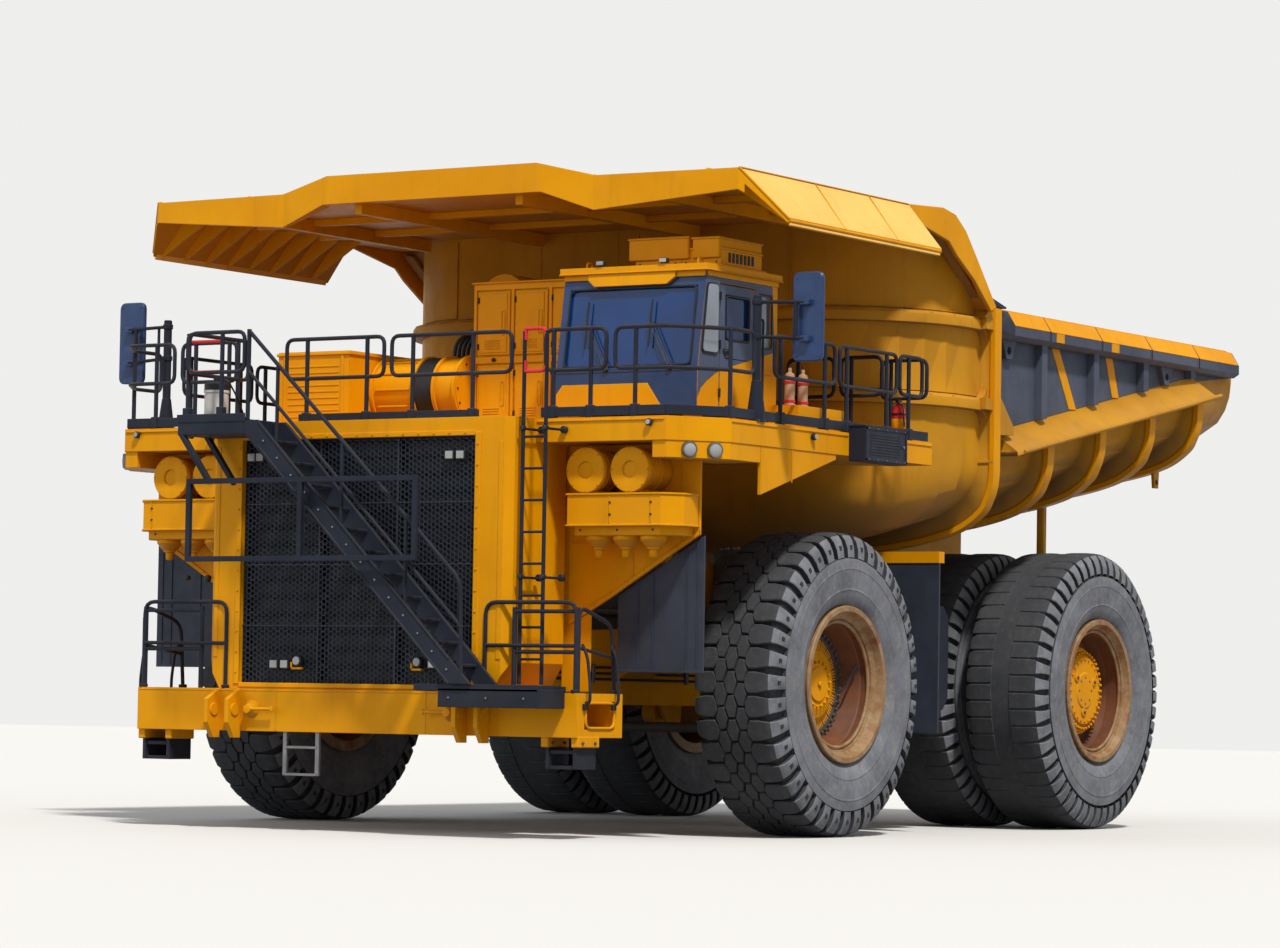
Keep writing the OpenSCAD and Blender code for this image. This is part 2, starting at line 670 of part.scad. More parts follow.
module cab_door() color(cab_blue) placed() {
    c = door_gap;
    frame_w = 110;
    difference() {
        block([cab_x1 - cab_t + 10, door_y[0] + c, door_z[0] + c],
              [cab_x1, door_y[1] - c, door_z[1] - c]);
        block([cab_x1 - cab_t, door_y[0] + c + frame_w, 5450],
              [cab_x1 + 1, door_y[1] - c - frame_w, door_z[1] - c - frame_w]);
    }
}

// AXLES

strut_z = 2300;
module suspension_struts() color(steel) placed() both_sides() {
    // Front strut with the kingpin in it
    translate([kingpin_x, 0, strut_z]) cylinder(h = 1050, r = strut_r, $fn = 48);
    // Rear strut between the axle and the main rail
    translate([1000, rear_y + 850, rear_strut_z])
        cylinder(h = axle_tunnel_z - rear_strut_z - gap, r = 150, $fn = 48);
    block([850, rear_y + axle_r + gap, 1700], [1150, rear_y + 1000, rear_strut_z]);
}
rear_strut_z = 1900;
module knuckle() {
    translate([kingpin_x, 0, 1350]) cylinder(h = strut_z - 1350 - gap, r = strut_r - 40, $fn = 48);
    translate([kingpin_x, 0, 1350]) cylinder(h = 760, r = strut_r + 20, $fn = 48);
    pin_x(kingpin_x, front_hub_x - gap, 0, axle_z, 210);
    // Steering arm to the tie rod
    block([kingpin_x - 90, 0, 1350], [kingpin_x + 90, arm_l, 1450]);
    translate([kingpin_x, arm_l, 1350]) cylinder(h = 100, r = 90, $fn = 32);
    translate([kingpin_x, arm_l, 1150]) cylinder(h = 201, r = 45, $fn = 32);
}
arm_l = 700;
module knuckle_left() color(chrome_yellow) placed() knuckle();
module knuckle_right() color(chrome_yellow) placed() mirror([1, 0, 0]) knuckle();
module tie_rod() color(steel) placed() {
    difference() {
        union() {
            bar([-kingpin_x, arm_l, 1240], [kingpin_x, arm_l, 1240], 120, 32);
            both_sides() translate([kingpin_x, arm_l, 1160]) cylinder(h = 160, r = 100, $fn = 32);
        }
        both_sides() translate([kingpin_x, arm_l, 1100]) cylinder(h = 300, r = 45 + gap, $fn = 32);
    }
}
axle_r = 620;
module rear_axle() color(chrome_yellow) placed() {
    pin_x(-1250, 1250, rear_y, axle_z, axle_r);
    both_sides() pin_x(1250, rear_disc_x - gap, rear_y, axle_z, 540);
    // Nose to the frame
    along_x(-450, 450, [[rear_y - 2100, axle_z + 330], [rear_y - 400, axle_z + 560],
                        [rear_y - 400, axle_z - 300], [rear_y - 2100, axle_z - 80]]);
}
// WHEELS

lug_groove = 60;
// Half section of a tyre: [radius, distance from its middle plane]
function tyre_section(w) = [
    [rim_r - 10, -w * 0.40], [rim_r + 60, -w * 0.46], [tyre_r * 0.72, -w * 0.5],
    [tyre_r * 0.84, -w * 0.49], [tyre_r - 60, -w * 0.44], [tyre_r - 8, -w * 0.38],
    [tyre_r, -w * 0.2], [tyre_r, w * 0.2],
    [tyre_r - 8, w * 0.38], [tyre_r - 60, w * 0.44], [tyre_r * 0.84, w * 0.49],
    [tyre_r * 0.72, w * 0.5], [rim_r + 60, w * 0.46], [rim_r - 10, w * 0.40]
];
module tyre(mid_x, y) difference() {
    turned_x(y, axle_z, [for (p = tyre_section(tyre_w)) [p[0], p[1] + mid_x]]);
    // Grooves between the shoulder lugs, half a pitch apart on the two sides
    translate([mid_x, y, axle_z]) for (i = [0:lug_n - 1]) for (side = [0, 1])
        rotate([180 * (2 * i + side) / lug_n, 0, 0]) mirror([side, 0, 0])
            block([tyre_w * 0.22, -lug_groove / 2, tyre_r - lug_depth],
                  [tyre_w, lug_groove / 2, tyre_r + 10]);
}
front_mid_x = front_face_x - tyre_w / 2;
rear_mid_x = [rear_face_x - tyre_w * 3 / 2 - dual_gap, rear_face_x - tyre_w / 2];
front_hub_x = front_face_x - 690;
rear_disc_x = rear_face_x - 700;

// Front rim: barrel, web and deep-set hub
module front_rim() {
    out = front_face_x - 40;
    in = front_face_x - tyre_w + 60;
    r = rim_r - 10;
    turned_x(0, axle_z, [
        [r - 130, in], [r - gap, in], [r - gap, out], [r - 60, out], [r - 110, out - 120],
        [r - 190, out - 260], [r - 250, front_hub_x + 160], [420, front_hub_x + 160],
        [400, front_hub_x + 210], [290, front_hub_x + 240], [0, front_hub_x + 240],
        [0, front_hub_x], [r - 250, front_hub_x], [r - 190, in + 60]
    ]);
}
// Rear rims: both barrels, web and planetary cover
module rear_rims() {
    out = rear_face_x - 40;
    in = rear_face_x - 2 * tyre_w - dual_gap + 60;
    r = rim_r - 10;
    turned_x(rear_y, axle_z, [
        [r - 130, in], [r - gap, in], [r - gap, out], [r - 60, out], [r - 110, out - 120],
        [r - 190, rear_disc_x + 200], [580, rear_disc_x + 200], [560, rear_disc_x + 340],
        [530, rear_disc_x + 345], [530, rear_disc_x + 375], [480, rear_disc_x + 380],
        [430, rear_disc_x + 430], [240, rear_disc_x + 430], [220, rear_disc_x + 445],
        [0, rear_disc_x + 445], [0, rear_disc_x],
        [r - 190, rear_disc_x]
    ]);
}
module tyre_front_left() color(rubber) placed() tyre(front_mid_x, 0);
module tyre_front_right() color(rubber) placed() mirror([1, 0, 0]) tyre(front_mid_x, 0);
module rim_front_left() color(rust_beige) placed() front_rim();
module rim_front_right() color(rust_beige) placed() mirror([1, 0, 0]) front_rim();
module tyres_rear_left() color(rubber) placed() for (x = rear_mid_x) tyre(x, rear_y);
module tyres_rear_right() color(rubber) placed() mirror([1, 0, 0])
    for (x = rear_mid_x) tyre(x, rear_y);
module rims_rear_left() color(rust_beige) placed() rear_rims();
module rims_rear_right() color(rust_beige) placed() mirror([1, 0, 0]) rear_rims();

// BED

// Lower side of the bed's section: [in from the side, up from the floor]
SIDE_CURVE = [[0, 1000], [20, 800], [80, 620], [190, 450], [520, 240], [1120, 80], [1800, 0]];
// Rise of the skin above the floor at x
function side_rise(x) = lookup(bed_half - x, SIDE_CURVE);
bed_top = canopy_z;
// Half width of the bed at y, grown by out
function bed_w(y, out) =
    let(r = bed_corner_r + out, d = y - bed_front + out)
    bed_half + out - (d >= r ? 0 : r - sqrt(r * r - (r - d) * (r - d)));
// Rise of the floor over the rounded front bottom edge
function toe(y, out) =
    let(r = bed_toe_r + out, d = y - bed_front + out)
    d >= r ? 0 : r - sqrt(r * r - (r - d) * (r - d));
// Section of the bed at y, as an outline in X and Z
function bed_section(y, out) =
    let(w = bed_w(y, out), z = floor_z(y) - out + toe(y, out),
        half = concat([[w, bed_top + 500]], [for (p = SIDE_CURVE) [w - p[0], z + p[1]]]))
    concat(half, [for (i = [len(half) - 1:-1:0]) [-half[i][0], half[i][1]]]);
// Solid of the bed's outer form, grown by out
module bed_form(out, tail) {
    steps = 8;
    hull() {
        for (i = [0:steps]) {
            y = bed_front - out + 1 + (bed_corner_r + out) * (1 - cos(90 * i / steps));
            along_y(y - 1, y, bed_section(y, out));
        }
        along_y(tail - 1, tail, bed_section(tail, out));
    }
}
bed_tail = tail_reach;
// Side view of what is kept of the walls
slope_y = [2350, 3500];
keep_profile = [
    [bed_front - 500, 2500], [bed_front - 500, canopy_z - canopy_t - gap],
    [slope_y[0], canopy_z - canopy_t - gap], [slope_y[1], bed_rail_z + 90],
    [3990, bed_rail_z], [bed_tail - 150, bed_rail_z], [bed_tail, bed_rail_z - 250],
    [bed_tail - 60, 5000], [bed_tail - 60, 2500]
];
ledge_up = [1200, 950];
ledge_out = 320;
// Where a rib stands on the ledge, against the skin
function ledge_top(y) = floor_z(y) + ledge_up[0] * norm([1, floor_rise]) + 10;
// Piece drawn out along the floor's slope from its outline in X and height above the skin
module along_floor(y0, y1, pts)
    translate([0, y0, floor_z(y0)]) rotate([atan(floor_rise), 0, 0])
        translate([0, norm([y1 - y0, floor_rise * (y1 - y0)]), 0]) rotate([90, 0, 0])
            linear_extrude(norm([y1 - y0, floor_rise * (y1 - y0)])) polygon(pts);
// Hoop outside the skin at y, up to the height top
module hoop(y, top) difference() {
    along_y(y, y + hoop_w, bed_section(y, hoop_d));
    along_y(y - 1, y + hoop_w + 1, bed_section(y, -10));
    block([-rail_out_x - 5, y - 1, 2500], [rail_out_x + 5, y + hoop_w + 1, 6000]);
    block([-6000, y - 1, top], [6000, y + hoop_w + 1, 9000]);
}
band_z = [5300, 6300];
band_out = 110;
band_steps = 8;
// Plan of the bed ahead of the first hoop, grown by out
function band_plan(out) = let(
    half = [for (i = [0:band_steps])
        let(y = bed_front - out + (bed_corner_r + out) * (1 - cos(90 * i / band_steps)))
        [bed_w(y, out), y]],
    full = concat(half, [[bed_half + out, hoop_y + 10]]))
    concat(full, [for (i = [len(full) - 1:-1:0]) [-full[i][0], full[i][1]]]);
module bed_shell() color(chrome_yellow) placed() {
    intersection() {
        difference() {
            bed_form(0, bed_tail);
            bed_form(-bed_t, bed_tail + 100);
        }
        along_x(-5000, 5000, keep_profile);
    }
    hoop(hoop_y, bed_rail_z - 20);
    for (i = [1:hoop_n - 1]) {
        y = hoop_y + i * hoop_pitch;
        hoop(y, floor_z(y) + ledge_up[1]);
    }
    // Rock ledges
    both_sides() along_floor(hoop_y + hoop_w + 450, hoop_y + 4 * hoop_pitch + 500, [
        [bed_half - 10, ledge_up[0]], [bed_half + ledge_out, ledge_up[1]],
        [bed_half + ledge_out, ledge_up[1] - 60], [bed_half - 10, ledge_up[1] - 60]
    ]);
    // Rock ejectors over the gap between the rear tyres
    dual_x = rear_face_x - tyre_w - dual_gap / 2;
    both_sides() block([dual_x - 45, rear_y + 600, 3300],
                       [dual_x + 45, rear_y + 700,
                        floor_z(rear_y + 700) + side_rise(dual_x - 45) + bed_t / 2]);
    // Bands round the front corners
    for (z = band_z) difference() {
        along_z(z - 70, z + 70, band_plan(band_out));
        along_z(z - 71, z + 71, band_plan(-10));
    }
    // Caps on the sloping ends of the front walls
    both_sides() along_x(bed_half - 10, bed_half + 110, [
        [slope_y[0] + 30, canopy_z - canopy_t - 60], [slope_y[1], bed_rail_z + 85],
        [slope_y[1], bed_rail_z], [slope_y[0] - 60, canopy_z - canopy_t - 60]
    ]);
    // Plates that end the ledges against the first hoop
    ledge_y = hoop_y + hoop_w + 450;
    ledge_z = floor_z(ledge_y) + ledge_up[1];
    both_sides() along_z(ledge_z - 60, ledge_z - 10, [
        [bed_half - 10, hoop_y + hoop_w - 10], [bed_half + 60, hoop_y + hoop_w - 10],
        [bed_half + ledge_out - 10, ledge_y + 10], [bed_half - 10, ledge_y + 10]
    ]);
}
lug_y = [hoop_y + 650, hoop_y + hoop_pitch * 3 + 800];
module bed_side_rails() color(blue_black) placed() both_sides() {
    z0 = bed_rail_z - 370;
    top = bed_rail_z - 20;
    along_y(hoop_y + hoop_w, bed_tail - 160, [
        [bed_half, top], [bed_half + 80, top], [bed_half + 190, top - 180],
        [bed_half + 190, top - 300], [bed_half + 110, z0], [bed_half, z0]
    ]);
    // Lifting lugs
    for (y = lug_y) difference() {
        along_x(bed_half, bed_half + 70, [
            [y - 190, z0], [y + 190, z0], [y + 70, z0 - 240], [y - 70, z0 - 240]
        ]);
        pin_x(bed_half - 1, bed_half + 71, y, z0 - 130, 50, 32);
    }
    for (i = [1:hoop_n - 1]) {
        y = hoop_y + i * hoop_pitch;
        along_x(bed_half, bed_half + 110, [
            [y, ledge_top(y)], [y + hoop_w, ledge_top(y + hoop_w)],
            [y + hoop_w, z0], [y, z0]
        ]);
    }
}
module bed_bolsters() color(chrome_yellow) placed() both_sides() {
    x0 = rail_out_x - rail_w + ear_w + gap;
    x1 = rail_out_x;
    lift = 40;
    difference() {
        union() {
            along_x(x0, x1, [
                [2300, rail_top(2300) + gap], [pivot_y - 100, rail_top(pivot_y - 100) + gap],
                [pivot_y + ear_r, pivot_z - 120], [pivot_y + ear_r, floor_z(pivot_y) + lift],
                [2300, floor_z(2300) - gap]
            ]);
        }
        pin_x(x0 - 1, x1 + 1, pivot_y, pivot_z, pivot_r + gap);
    }
    // Hoist head lugs
    pin_x(x1, hoist_x + 130, hoist_head[0], hoist_head[1], head_pin_r);
    pin_x(x1, hoist_x - eye_w / 2 - 10, hoist_head[0], hoist_head[1], 150);
    pin_x(hoist_x + eye_w / 2 + 10, hoist_x + 130, hoist_head[0], hoist_head[1], 110);
}
// Canopy seen from the front: [across, up] of its upper side
canopy_line = [
    [1500, canopy_z + 180], [2220, canopy_z + 10], [canopy_half, canopy_z], wing_edge
];
module canopy() color(chrome_yellow) placed() {
    upper = concat([for (i = [3:-1:0]) [-canopy_line[i][0], canopy_line[i][1]]], canopy_line);
    lower = [
        [wing_edge[0] - 10, wing_edge[1] - 60], [canopy_half, canopy_z - canopy_t],
        [-canopy_half, canopy_z - canopy_t], [-wing_edge[0] + 10, wing_edge[1] - 60]
    ];
    // Lower edge of the front lip
    lip = [
        [canopy_half, canopy_z - 245], [2220, canopy_z - 390], [1560, canopy_z - 160],
        [-1560, canopy_z - 160], [-2220, canopy_z - 390], [-canopy_half, canopy_z - 245]
    ];
    intersection() {
        union() {
            along_y(-canopy_front - 200, slope_y[0], concat(upper, lower));
            along_y(-canopy_front - 200, -canopy_front + 60, concat(upper, lip));
        }
        along_z(6500, 8000, [
            [-1500, -canopy_front - 120], [1500, -canopy_front - 120], [2220, -canopy_front - 10],
            [canopy_half, -canopy_front], [wing_edge[0], -canopy_front + 435],
            [wing_edge[0], bed_front + 70], [canopy_half, bed_front], [canopy_half, slope_y[0]],
            [-canopy_half, slope_y[0]], [-canopy_half, bed_front], [-wing_edge[0], bed_front + 70],
            [-wing_edge[0], -canopy_front + 435], [-canopy_half, -canopy_front],
            [-2220, -canopy_front - 10]
        ]);
    }
    // Beams under the plate
    for (x = [-2900, -1150, 1150, 2900])
        block([x - 50, -canopy_front + 55, canopy_z - canopy_t - 150],
              [x + 50, bed_front - gap, canopy_z - canopy_t + 5]);
    // Gussets under the wings
    both_sides() for (i = [0:7]) {
        y = -canopy_front + 560 + i * 440;
        along_y(y, y + 30, [
            [canopy_half - 430, canopy_z - canopy_t + 5], [canopy_half - 10, canopy_z - canopy_t + 5],
            [wing_edge[0] - 12, wing_edge[1] - 50], [wing_edge[0] - 70, wing_edge[1] - 50]
        ]);
    }
}

frame();
engine();
bumper();
radiator_housing();
grille();
deck();
fender_panels();
air_cleaners();
headlamps();
mud_flaps();
stairs();
ladder();
deck_rails();
bumper_walkway();
number_frame();
control_cabinet();
retarder();
air_duct();
side_boxes();
mirrors();
cab_shell();
cab_glass();
cab_interior();
cab_aircon();
cab_door();
suspension_struts();
rear_axle();
knuckle_left();
knuckle_right();
tie_rod();
tyre_front_left();
tyre_front_right();
rim_front_left();
rim_front_right();
tyres_rear_left();
tyres_rear_right();
rims_rear_left();
rims_rear_right();
bed_shell();
bed_side_rails();
bed_bolsters();
canopy();
hoist_barrels();
hoist_sleeves();
hoist_rods();
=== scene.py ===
"""Mining dump truck: finishes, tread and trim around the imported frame. Metres, +Z up, front towards -Y."""
import json
import math
import random
from itertools import product

import bmesh
import bpy
from mathutils import Matrix, Vector


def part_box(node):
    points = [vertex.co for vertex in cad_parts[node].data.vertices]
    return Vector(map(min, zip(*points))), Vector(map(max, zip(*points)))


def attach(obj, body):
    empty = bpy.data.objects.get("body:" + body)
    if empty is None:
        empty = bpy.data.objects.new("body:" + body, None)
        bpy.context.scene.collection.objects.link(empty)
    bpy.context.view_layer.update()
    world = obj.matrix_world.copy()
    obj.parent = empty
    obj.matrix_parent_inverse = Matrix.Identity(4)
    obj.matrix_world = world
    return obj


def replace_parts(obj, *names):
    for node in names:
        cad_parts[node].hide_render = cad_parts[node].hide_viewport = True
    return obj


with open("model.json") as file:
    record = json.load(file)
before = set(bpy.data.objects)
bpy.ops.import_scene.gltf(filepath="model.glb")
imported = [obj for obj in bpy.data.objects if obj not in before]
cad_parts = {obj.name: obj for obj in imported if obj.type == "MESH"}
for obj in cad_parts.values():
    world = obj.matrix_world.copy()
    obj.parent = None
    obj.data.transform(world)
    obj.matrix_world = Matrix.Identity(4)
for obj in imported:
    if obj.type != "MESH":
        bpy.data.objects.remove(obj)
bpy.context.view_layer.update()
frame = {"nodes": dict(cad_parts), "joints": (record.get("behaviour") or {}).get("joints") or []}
NODES = frame["nodes"]
JOINT = {j["name"]: j for j in frame["joints"]}
AXLE_Y = JOINT["roll_front_left"]["pos_m"][1]
AXLE_Z = JOINT["roll_front_left"]["pos_m"][2]
REAR_Y = JOINT["roll_rear_left"]["pos_m"][1]


def at(x, y, z):
    """Point given with y counted from the front axle."""
    return Vector((x, y + AXLE_Y, z))


# Camera and stage

CAMERA_AT = (29.027, -43.778, 1.505)
CAMERA_YAW = 0.56606
CAMERA_PITCH = 0.05351
CAMERA_ROLL = 0.0164
CAMERA_LENS = 121.17
PALE = (0.86, 0.86, 0.85)


def make_camera():
    yaw, pitch, roll = CAMERA_YAW, CAMERA_PITCH, CAMERA_ROLL
    ahead = Vector((-math.sin(yaw) * math.cos(pitch), math.cos(yaw) * math.cos(pitch), math.sin(pitch)))
    right = Vector((math.cos(yaw), math.sin(yaw), 0))
    up = right.cross(ahead)
    right, up = (math.cos(roll) * right + math.sin(roll) * up,
                 math.cos(roll) * up - math.sin(roll) * right)
    data = bpy.data.cameras.new("camera")
    data.sensor_width = 36
    data.lens = CAMERA_LENS
    data.clip_end = 500
    cam = bpy.data.objects.new("camera", data)
    turn = Matrix((right, up, -ahead)).transposed().to_4x4()
    cam.matrix_world = Matrix.Translation(at(*CAMERA_AT)) @ turn
    bpy.context.scene.collection.objects.link(cam)
    bpy.context.scene.camera = cam


def make_light(name, direction, strength, spread, colour):
    data = bpy.data.lights.new(name, "SUN")
    data.energy = strength
    data.angle = math.radians(spread)
    data.color = colour
    lamp = bpy.data.objects.new(name, data)
    lamp.rotation_euler = Vector(direction).to_track_quat("-Z", "Y").to_euler()
    bpy.context.scene.collection.objects.link(lamp)


def seen_directly(tree):
    """1 for what the eye, a reflection or a look through glass meets, 0 for light's own bounces."""
    path = tree.nodes.new("ShaderNodeLightPath")
    value = path.outputs["Is Camera Ray"]
    for kind in ("Is Glossy Ray", "Is Transmission Ray"):
        either = tree.nodes.new("ShaderNodeMath")
        either.operation = "MAXIMUM"
        tree.links.new(value, either.inputs[0])
        tree.links.new(path.outputs[kind], either.inputs[1])
        value = either.outputs[0]
    return value


def make_world():
    world = bpy.data.worlds.new("world")
    bpy.context.scene.world = world
    world.use_nodes = True
    tree = world.node_tree
    tree.nodes.clear()
    out = tree.nodes.new("ShaderNodeOutputWorld")
    soft = tree.nodes.new("ShaderNodeBackground")
    soft.inputs["Color"].default_value = (0.93, 0.96, 1.0, 1)
    soft.inputs["Strength"].default_value = 0.46
    seen = tree.nodes.new("ShaderNodeBackground")
    seen.inputs["Color"].default_value = (*PALE, 1)
    seen.inputs["Strength"].default_value = 1.0
    mix = tree.nodes.new("ShaderNodeMixShader")
    tree.links.new(seen_directly(tree), mix.inputs["Fac"])
    tree.links.new(soft.outputs[0], mix.inputs[1])
    tree.links.new(seen.outputs[0], mix.inputs[2])
    tree.links.new(mix.outputs[0], out.inputs["Surface"])


def make_stage():
    half = 120
    mesh = bpy.data.meshes.new("floor")
    mesh.from_pydata([(-half, -half, 0), (half, -half, 0), (half, half, 0), (-half, half, 0)], [],
                     [(0, 1, 2, 3)])
    floor = bpy.data.objects.new("floor", mesh)
    bpy.context.scene.collection.objects.link(floor)
    mat = bpy.data.materials.new("floor")
    mat.use_nodes = True
    tree = mat.node_tree
    shader = tree.nodes["Principled BSDF"]
    shader.inputs["Roughness"].default_value = 0.9
    mix = tree.nodes.new("ShaderNodeMix")
    mix.data_type = "RGBA"
    mix.inputs[6].default_value = (0.30, 0.295, 0.29, 1)
    mix.inputs[7].default_value = (0.70, 0.69, 0.67, 1)
    tree.links.new(seen_directly(tree), mix.inputs[0])
    tree.links.new(mix.outputs[2], shader.inputs["Base Color"])
    mesh.materials.append(mat)


# Materials

def srgb(r, g, b):
    """Linear colour from one given as 0 to 255."""
    return tuple(((c / 255 + 0.055) / 1.055) ** 2.4 if c > 10 else c / 255 / 12.92 for c in (r, g, b))


YELLOW = srgb(230, 157, 2)
YELLOW_DEEP = srgb(218, 144, 2)
DUST = srgb(176, 158, 128)
BLUE_BLACK = srgb(42, 47, 60)
BLUE_GREY = srgb(84, 96, 120)
RUBBER = srgb(57, 59, 63)
SIDEWALL = srgb(126, 129, 137)
RUST = srgb(120, 66, 26)
RIM = srgb(140, 108, 68)
RED = srgb(190, 40, 45)


class Finish:
    """Small helper that wires a material's nodes."""

    def __init__(self, name):
        self.mat = bpy.data.materials.new(name)
        self.mat.use_nodes = True
        self.tree = self.mat.node_tree
        self.shader = self.tree.nodes["Principled BSDF"]
        self.coord = self.tree.nodes.new("ShaderNodeTexCoord").outputs["Object"]

    def add(self, kind, **values):
        node = self.tree.nodes.new("ShaderNode" + kind)
        for key, value in values.items():
            setattr(node, key, value)
        return node

    def link(self, a, b):
        self.tree.links.new(a, b)

    def plug(self, socket, value):
        """Sets a constant on the socket itself, or links an output to it."""
        if isinstance(value, (int, float)):
            socket.default_value = value
        elif isinstance(value, tuple):
            socket.default_value = (*value, 1)
        else:
            self.link(value, socket)

    def noise(self, scale, detail, stretch=(1, 1, 1), rough=0.55):
        """Noise value over the object's own coordinates; scale counts its waves in each metre."""
        place = self.add("Mapping")
        place.inputs["Scale"].default_value = stretch
        self.link(self.coord, place.inputs["Vector"])
        node = self.add("TexNoise")
        for key, number in (("Scale", scale), ("Detail", detail), ("Roughness", rough)):
            node.inputs[key].default_value = number
        self.link(place.outputs[0], node.inputs["Vector"])
        return node.outputs["Fac"]

    def ramp(self, value, low, high, to_low=0.0, to_high=1.0):
        node = self.add("MapRange", clamp=True)
        for key, number in (("From Min", low), ("From Max", high), ("To Min", to_low), ("To Max", to_high)):
            node.inputs[key].default_value = number
        self.link(value, node.inputs["Value"])
        return node.outputs["Result"]

    def math(self, kind, a, b):
        node = self.add("Math", operation=kind)
        self.plug(node.inputs[0], a)
        self.plug(node.inputs[1], b)
        return node.outputs[0]

    def times(self, a, b):
        return self.math("MULTIPLY", a, b)

    def mix(self, fac, a, b):
        """Colour b laid over colour a by fac."""
        node = self.add("Mix", data_type="RGBA")
        for index, value in ((0, fac), (6, a), (7, b)):
            self.plug(node.inputs[index], value)
        return node.outputs[2]

    def axes(self):
        split = self.add("SeparateXYZ")
        self.link(self.coord, split.inputs[0])
        return split.outputs

    def facing_up(self):
        geometry = self.add("NewGeometry")
        split = self.add("SeparateXYZ")
        self.link(geometry.outputs["Normal"], split.inputs[0])
        return split.outputs[2]

    def edge(self, radius):
        """1 on sharp edges, from the difference of rounded and plain normals, and the rounded normal."""
        bevel = self.add("Bevel", samples=4)
        bevel.inputs["Radius"].default_value = radius
        geometry = self.add("NewGeometry")
        dot = self.add("VectorMath", operation="DOT_PRODUCT")
        self.link(bevel.outputs[0], dot.inputs[0])
        self.link(geometry.outputs["Normal"], dot.inputs[1])
        return self.ramp(dot.outputs["Value"], 0.97, 0.85), bevel.outputs[0]

    def bump(self, height, strength, distance, normal=None):
        node = self.add("Bump")
        node.inputs["Strength"].default_value = strength
        node.inputs["Distance"].default_value = distance
        self.link(height, node.inputs["Height"])
        if normal is not None:
            self.link(normal, node.inputs["Normal"])
        self.link(node.outputs[0], self.shader.inputs["Normal"])

    def set(self, **values):
        for key, value in values.items():
            self.plug(self.shader.inputs[key.replace("_", " ").title().replace("Ior", "IOR")], value)
        return self.mat


def paint(name, colour, deep, dust=0.12, gloss=0.46, wear=0.5, painted_under_shade=0.55):
    """Weathered machine paint: patchy tone, dust on top and low down, streaks, chipped edges, and painted
    shade that darkens faces looking down.
    """
    f = Finish(name)
    edge, round_normal = f.edge(0.012)
    base = f.mix(f.ramp(f.noise(0.9, 5), 0.35, 0.7), colour, deep)
    streaks = f.ramp(f.noise(5.0, 5, (1.0, 1.0, 0.12)), 0.56, 0.78)
    base = f.mix(f.times(streaks, 0.22), base, tuple(c * 0.45 for c in deep))
    grime = f.times(f.ramp(f.noise(1.7, 7, rough=0.68), 0.52, 0.72), 0.14)
    base = f.mix(grime, base, tuple(0.6 * c + 0.15 * d for c, d in zip(deep, DUST)))
    top = f.ramp(f.facing_up(), 0.3, 0.95)
    low = f.ramp(f.axes()[2], 3.2, 0.6)
    cover = f.math("ADD", f.times(top, 0.65), f.times(low, 0.25))
    cover = f.times(cover, f.ramp(f.noise(2.6, 8, rough=0.7), 0.30, 0.72))
    base = f.mix(f.times(cover, dust), base, DUST)
    # Painted shade: faces that look down are darkened towards a brown, as much as painted_under_shade says
    under = f.times(f.ramp(f.facing_up(), -0.20, -0.85), painted_under_shade)
    base = f.mix(under, base, srgb(112, 88, 66))
    chips = f.times(edge, f.ramp(f.noise(9.0, 6), 0.45, 0.62))
    base = f.mix(f.times(chips, wear), base, srgb(120, 78, 44))
    rough = f.ramp(f.noise(6.0, 5), 0.3, 0.7, gloss - 0.06, gloss + 0.16)
    f.bump(f.noise(14.0, 3), 0.10, 0.004, round_normal)
    return f.set(base_color=base, roughness=rough, specular_ior_level=0.10)


def rubber(name, colour, dusty, dust):
    f = Finish(name)
    base = f.mix(f.ramp(f.noise(2.2, 7, rough=0.7), 0.36, 0.64), colour, dusty)
    base = f.mix(f.times(f.ramp(f.noise(11.0, 8, rough=0.75), 0.5, 0.75), dust), base, DUST)
    f.bump(f.noise(38.0, 6, rough=0.7), 0.35, 0.006)
    return f.set(base_color=base, roughness=0.88, specular_ior_level=0.25)


def rusty(name, colour, patch):
    """Dusty rim paint with rust that shows through, and painted highlight that lightens the edges."""
    f = Finish(name)
    edge, round_normal = f.edge(0.01)
    base = f.mix(f.ramp(f.noise(1.6, 6, rough=0.7), 0.40, 0.62), colour, RUST)
    base = f.mix(f.times(f.ramp(f.noise(5.5, 7, rough=0.7), 0.42, 0.62), 0.6), base, patch)
    # Painted highlight: edges lighter than the dust patches
    base = f.mix(f.times(edge, 0.4), base, tuple(1.25 * c for c in patch))
    f.bump(f.noise(24.0, 6), 0.25, 0.004, round_normal)
    return f.set(base_color=base, roughness=0.66)


def metal(name, colour, rough, metallic=0.9):
    f = Finish(name)
    base = f.mix(f.ramp(f.noise(3.0, 6), 0.35, 0.7), colour, tuple(c * 0.65 for c in colour))
    f.bump(f.noise(30.0, 4), 0.08, 0.002)
    return f.set(base_color=base, roughness=f.ramp(f.noise(8.0, 5), 0.3, 0.7, rough * 0.8, rough * 1.3),
                 metallic=metallic)


def glass(name, colour, alpha):
    f = Finish(name)
    f.set(base_color=f.mix(f.ramp(f.noise(1.1, 2), 0.3, 0.7), colour, tuple(c * 1.5 for c in colour)),
          roughness=0.05, metallic=0.0, specular_ior_level=0.22)
    f.shader.inputs["Alpha"].default_value = alpha
    return f.mat


def plain(name, colour, rough):
    """Moulded or powder-coated surface with a fine grain."""
    f = Finish(name)
    base = f.mix(f.ramp(f.noise(4.0, 6), 0.3, 0.75), colour, tuple(min(1, c * 1.35 + 0.004) for c in colour))
    f.bump(f.noise(60.0, 3), 0.12, 0.002)
    return f.set(base_color=base, roughness=f.ramp(f.noise(7.0, 4), 0.3, 0.7, rough - 0.05, rough + 0.1),
                 specular_ior_level=0.25)
